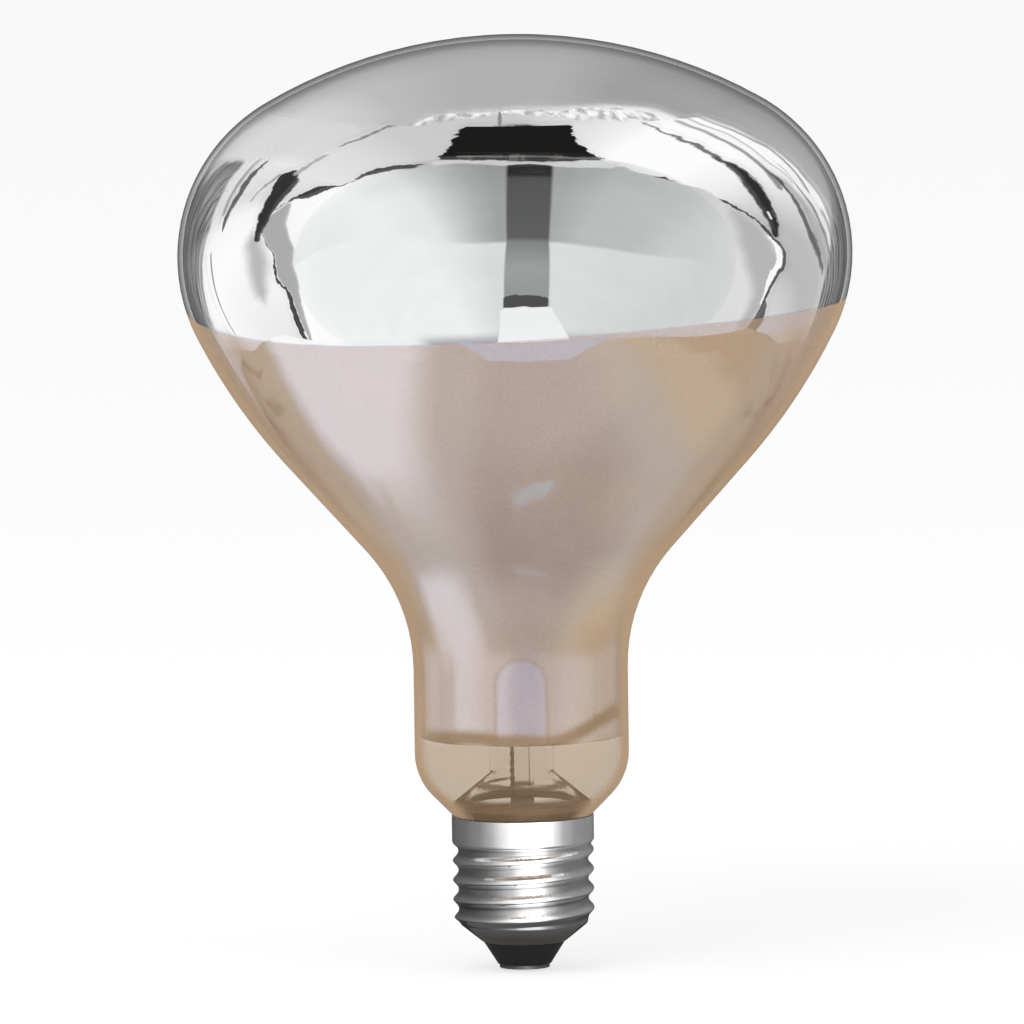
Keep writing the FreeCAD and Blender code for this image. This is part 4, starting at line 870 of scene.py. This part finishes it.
def cap_metal(tree):
    point, x, y, z = tree.place()
    grain = tree.noise(tree.stretch(point, (1.0, 1.0, 0.10)), 900.0, 5.0, 0.6)
    stain = tree.noise(point, 140.0, 4.0)
    plate = tree.mix(tree.smooth(stain, 0.32, 0.68), PLATE_DARK, PLATE_BRIGHT)
    foot = tree.fades(tree.scaled(stain, 0.0014, z), CAP_FOOT_LOW, CAP_FOOT_HIGH)
    plate = tree.mix(tree.times(foot, PLATE_FOOT_SHARE), plate, PLATE_FOOT)
    # Painted shade in the roots of the thread: darker inside the root radius above the cap's foot, patchy
    # with the stains
    in_root = tree.fades(tree.length(x, y), ROOT_SHADE_INSIDE, ROOT_SHADE_OUTSIDE)
    root_shade = tree.times(in_root, tree.smooth(z, ROOT_SHADE_FROM, ROOT_SHADE_FULL_FROM))
    plate = tree.mix(tree.times(root_shade, tree.smooth(stain, 0.2, 0.6, 0.35, 0.62)), plate, ROOT_PAINTED_SHADE)
    tree.finish_with(tree.principled(
        color=plate,
        metallic=1.0,
        roughness=tree.scaled(grain, 0.12, 0.08),
        normal=tree.bump(grain, 0.00003, 0.5),
    ))


# Stem glass: clear, with brown soot at its foot and in a ragged ring above it. Its refraction is kept
# low, so that the leads show through it.

STEM_TINT = grey(0.96)
STEM_IOR = 1.07
SOOT = (0.11, 0.06, 0.035, 1.0)
SOOT_TOP = 0.0322
SOOT_END = 0.0332
SOOT_RING = 0.0352
SOOT_SHARE = 0.8


def stem_glass(tree):
    point, _, _, z = tree.place()
    level = tree.scaled(tree.noise(point, 240.0, 4.0), 0.0012, z)
    ring = tree.fades(tree.away(level, SOOT_RING), 0.0001, 0.0005)
    ring = tree.times(ring, tree.smooth(tree.noise(point, 60.0, 2.0), 0.40, 0.55))
    soot = tree.math("MAXIMUM", tree.fades(level, SOOT_TOP, SOOT_END), ring)
    clear_stem = tree.principled(color=STEM_TINT, transmission=1.0, roughness=0.02, ior=STEM_IOR)
    flakes = tree.bump(tree.noise(point, 600.0, 4.0), 0.0002, 0.8)
    brown = tree.principled(color=SOOT, roughness=0.6, normal=flakes)
    tree.finish_with(tree.mix_shaders(tree.times(soot, SOOT_SHARE), clear_stem, brown))


# Contact plate, solder, wires, cement and black glass: one colour each, with a fine grain and darker stains

STAIN_SHADE = 0.80
STAIN_COARSER = 9.0
GRAIN_ROUGHNESS = 0.15


def grained(tree, color, roughness, scale, bump=0.00003, metallic=1.0):
    point = tree.place()[0]
    grain = tree.noise(point, scale, 5.0, 0.6)
    stain = tree.noise(point, scale / STAIN_COARSER, 3.0)
    stained = tuple(c * STAIN_SHADE for c in color)
    tree.finish_with(tree.principled(
        color=tree.mix(tree.smooth(stain, 0.35, 0.7), (*stained, 1.0), (*color, 1.0)),
        metallic=metallic,
        roughness=tree.scaled(grain, GRAIN_ROUGHNESS, roughness),
        normal=tree.bump(grain, bump, 0.6),
    ))


def contact_metal(tree):
    grained(tree, color=(0.55, 0.53, 0.49), roughness=0.34, scale=700.0)


def solder(tree):
    grained(tree, color=(0.50, 0.50, 0.51), roughness=0.30, scale=600.0, bump=0.0001)


def copper_wire(tree):
    """Copper that is dark with oxide."""
    grained(tree, color=(0.06, 0.045, 0.035), roughness=0.45, scale=500.0)


def nickel(tree):
    grained(tree, color=(0.50, 0.48, 0.45), roughness=0.30, scale=700.0)


def tungsten(tree):
    grained(tree, color=(0.26, 0.26, 0.27), roughness=0.38, scale=900.0)


def molybdenum(tree):
    grained(tree, color=(0.45, 0.45, 0.46), roughness=0.32, scale=700.0)


def cement(tree):
    grained(tree, color=(0.20, 0.12, 0.07), roughness=0.80, scale=700.0, bump=0.0002, metallic=0.0)


def black_glass(tree):
    grained(tree, color=(0.020, 0.020, 0.021), roughness=0.16, scale=300.0, bump=0.00002, metallic=0.0)


# Each slot of the record: its finish and the nodes that wear it
SLOTS = {
    "bulb_glass": (bulb_glass, ["bulb_envelope"]),
    "mirror_film": (mirror_film, ["reflector_film"]),
    "cap_metal": (cap_metal, ["cap_shell"]),
    "black_glass": (black_glass, ["cap_insulator"]),
    "contact_metal": (contact_metal, ["centre_contact"]),
    "solder": (solder, ["contact_solder", "rim_solder"]),
    "cement": (cement, ["capping_cement"]),
    "stem_glass": (stem_glass, ["stem_tube", "exhaust_tube", "support_arbor"]),
    "copper_wire": (copper_wire, ["seal_wire_1", "seal_wire_2", "centre_lead", "rim_lead"]),
    "nickel": (nickel, ["inner_lead_1", "inner_lead_2", "filament_clamp_1", "filament_clamp_2"]),
    "tungsten": (tungsten, ["filament"]),
    "molybdenum": (molybdenum, [f"support_wire_{i}" for i in range(1, 6)]),
}
materials = {}
for slot_name, (finish, names) in SLOTS.items():
    materials[slot_name] = bpy.data.materials.new(slot_name)
    finish(Tree(materials[slot_name]))
    for name in names:
        mesh = nodes[name].data
        if not mesh.materials:
            mesh.materials.append(None)
        for index in range(len(mesh.materials)):
            mesh.materials[index] = materials[slot_name]


# Drawn wires that the solids only outline: the coiled filament and the twisted centre lead

def wire(name, replaced, slot_name, lines, radius, sides):
    """Round wires along lines of points, as one piece that stands for a solid."""
    vertices, faces = [], []
    for line in lines:
        tangent = (line[1] - line[0]).normalized()
        normal = tangent.orthogonal().normalized()
        first = len(vertices)
        last = first + (len(line) - 1) * sides
        for i, place in enumerate(line):
            tangent = (line[min(i + 1, len(line) - 1)] - line[max(i - 1, 0)]).normalized()
            normal = (normal - tangent * normal.dot(tangent)).normalized()
            other = tangent.cross(normal)
            for k in range(sides):
                angle = 2 * math.pi * k / sides
                vertices.append(place + (normal * math.cos(angle) + other * math.sin(angle)) * radius)
        for low in range(first, last, sides):
            high = low + sides
            for k in range(sides):
                following = (k + 1) % sides
                faces.append((low + k, low + following, high + following, high + k))
        faces.append(tuple(first + k for k in reversed(range(sides))))
        faces.append(tuple(last + k for k in range(sides)))
    mesh = bpy.data.meshes.new(name)
    mesh.from_pydata([tuple(v) for v in vertices], [], faces)
    mesh.polygons.foreach_set("use_smooth", [True] * len(mesh.polygons))
    mesh.materials.append(materials[slot_name])
    made = bpy.data.objects.new(name, mesh)
    bpy.context.scene.collection.objects.link(made)
    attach(made, "root")
    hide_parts(replaced)


# The filament: a coil on an open ring, whose gap lies midway between the two leads. The mount's angle is
# that of the centre lead, in degrees from +X towards +Y.
MOUNT_ANGLE = -121.0
FROM_LEAD_TO_RING_MIDDLE = 270.0
FILAMENT_LEVEL = 0.097
FILAMENT_RING = 0.013
FILAMENT_MIDDLE = math.radians(MOUNT_ANGLE + FROM_LEAD_TO_RING_MIDDLE)
FILAMENT_SPAN = math.radians(280.0)
COIL_WIRE = 0.00013
COIL_RADIUS = 0.0007 - COIL_WIRE
COIL_TURNS = 112
COIL_STEPS = 12
COIL_SIDES = 6

coil = []
for i in range(COIL_TURNS * COIL_STEPS + 1):
    share = i / (COIL_TURNS * COIL_STEPS)
    angle = FILAMENT_MIDDLE + (share - 0.5) * FILAMENT_SPAN
    twist = 2 * math.pi * i / COIL_STEPS
    outward = FILAMENT_RING + COIL_RADIUS * math.cos(twist)
    level = FILAMENT_LEVEL + COIL_RADIUS * math.sin(twist)
    coil.append(Vector((outward * math.cos(angle), outward * math.sin(angle), level)))
wire("filament_coil", "filament", "tungsten", [coil], COIL_WIRE, COIL_SIDES)

# The centre lead: two strands twisted together, from the seal wire down to the contact, a little thinner
# than if they touched
LEAD_TOP = 0.045
LEAD_STRAIGHT = 0.026
LEAD_FOOT = 0.00045
LEAD_TIP = 0.006
LEAD_OUT = 0.0035
LEAD_ANGLE = math.radians(MOUNT_ANGLE)
STRAND_OFFSET = 0.000225
STRAND_SHRINK = 0.96
STRAND_RADIUS = STRAND_OFFSET * STRAND_SHRINK
STRAND_SIDES = 8
TWIST_PITCH = 0.0030
LEAD_STEPS = 260

strands = ([], [])
for i in range(LEAD_STEPS + 1):
    level = LEAD_TOP + (LEAD_FOOT - LEAD_TOP) * i / LEAD_STEPS
    bend = (LEAD_TOP - LEAD_STRAIGHT - level) / (LEAD_TOP - LEAD_STRAIGHT - LEAD_FOOT - LEAD_TIP)
    bend = min(max(bend, 0.0), 1.0)
    out = LEAD_OUT * (1.0 - bend * bend * (3 - 2 * bend))
    twist = 2 * math.pi * level / TWIST_PITCH
    for strand, turned in zip(strands, (0.0, math.pi)):
        strand.append(Vector((
            out * math.cos(LEAD_ANGLE) + STRAND_OFFSET * math.cos(twist + turned),
            out * math.sin(LEAD_ANGLE) + STRAND_OFFSET * math.sin(twist + turned),
            level,
        )))
wire("twisted_lead", "centre_lead", "copper_wire", strands, STRAND_RADIUS, STRAND_SIDES)

bpy.context.scene.view_settings.view_transform = "Standard"
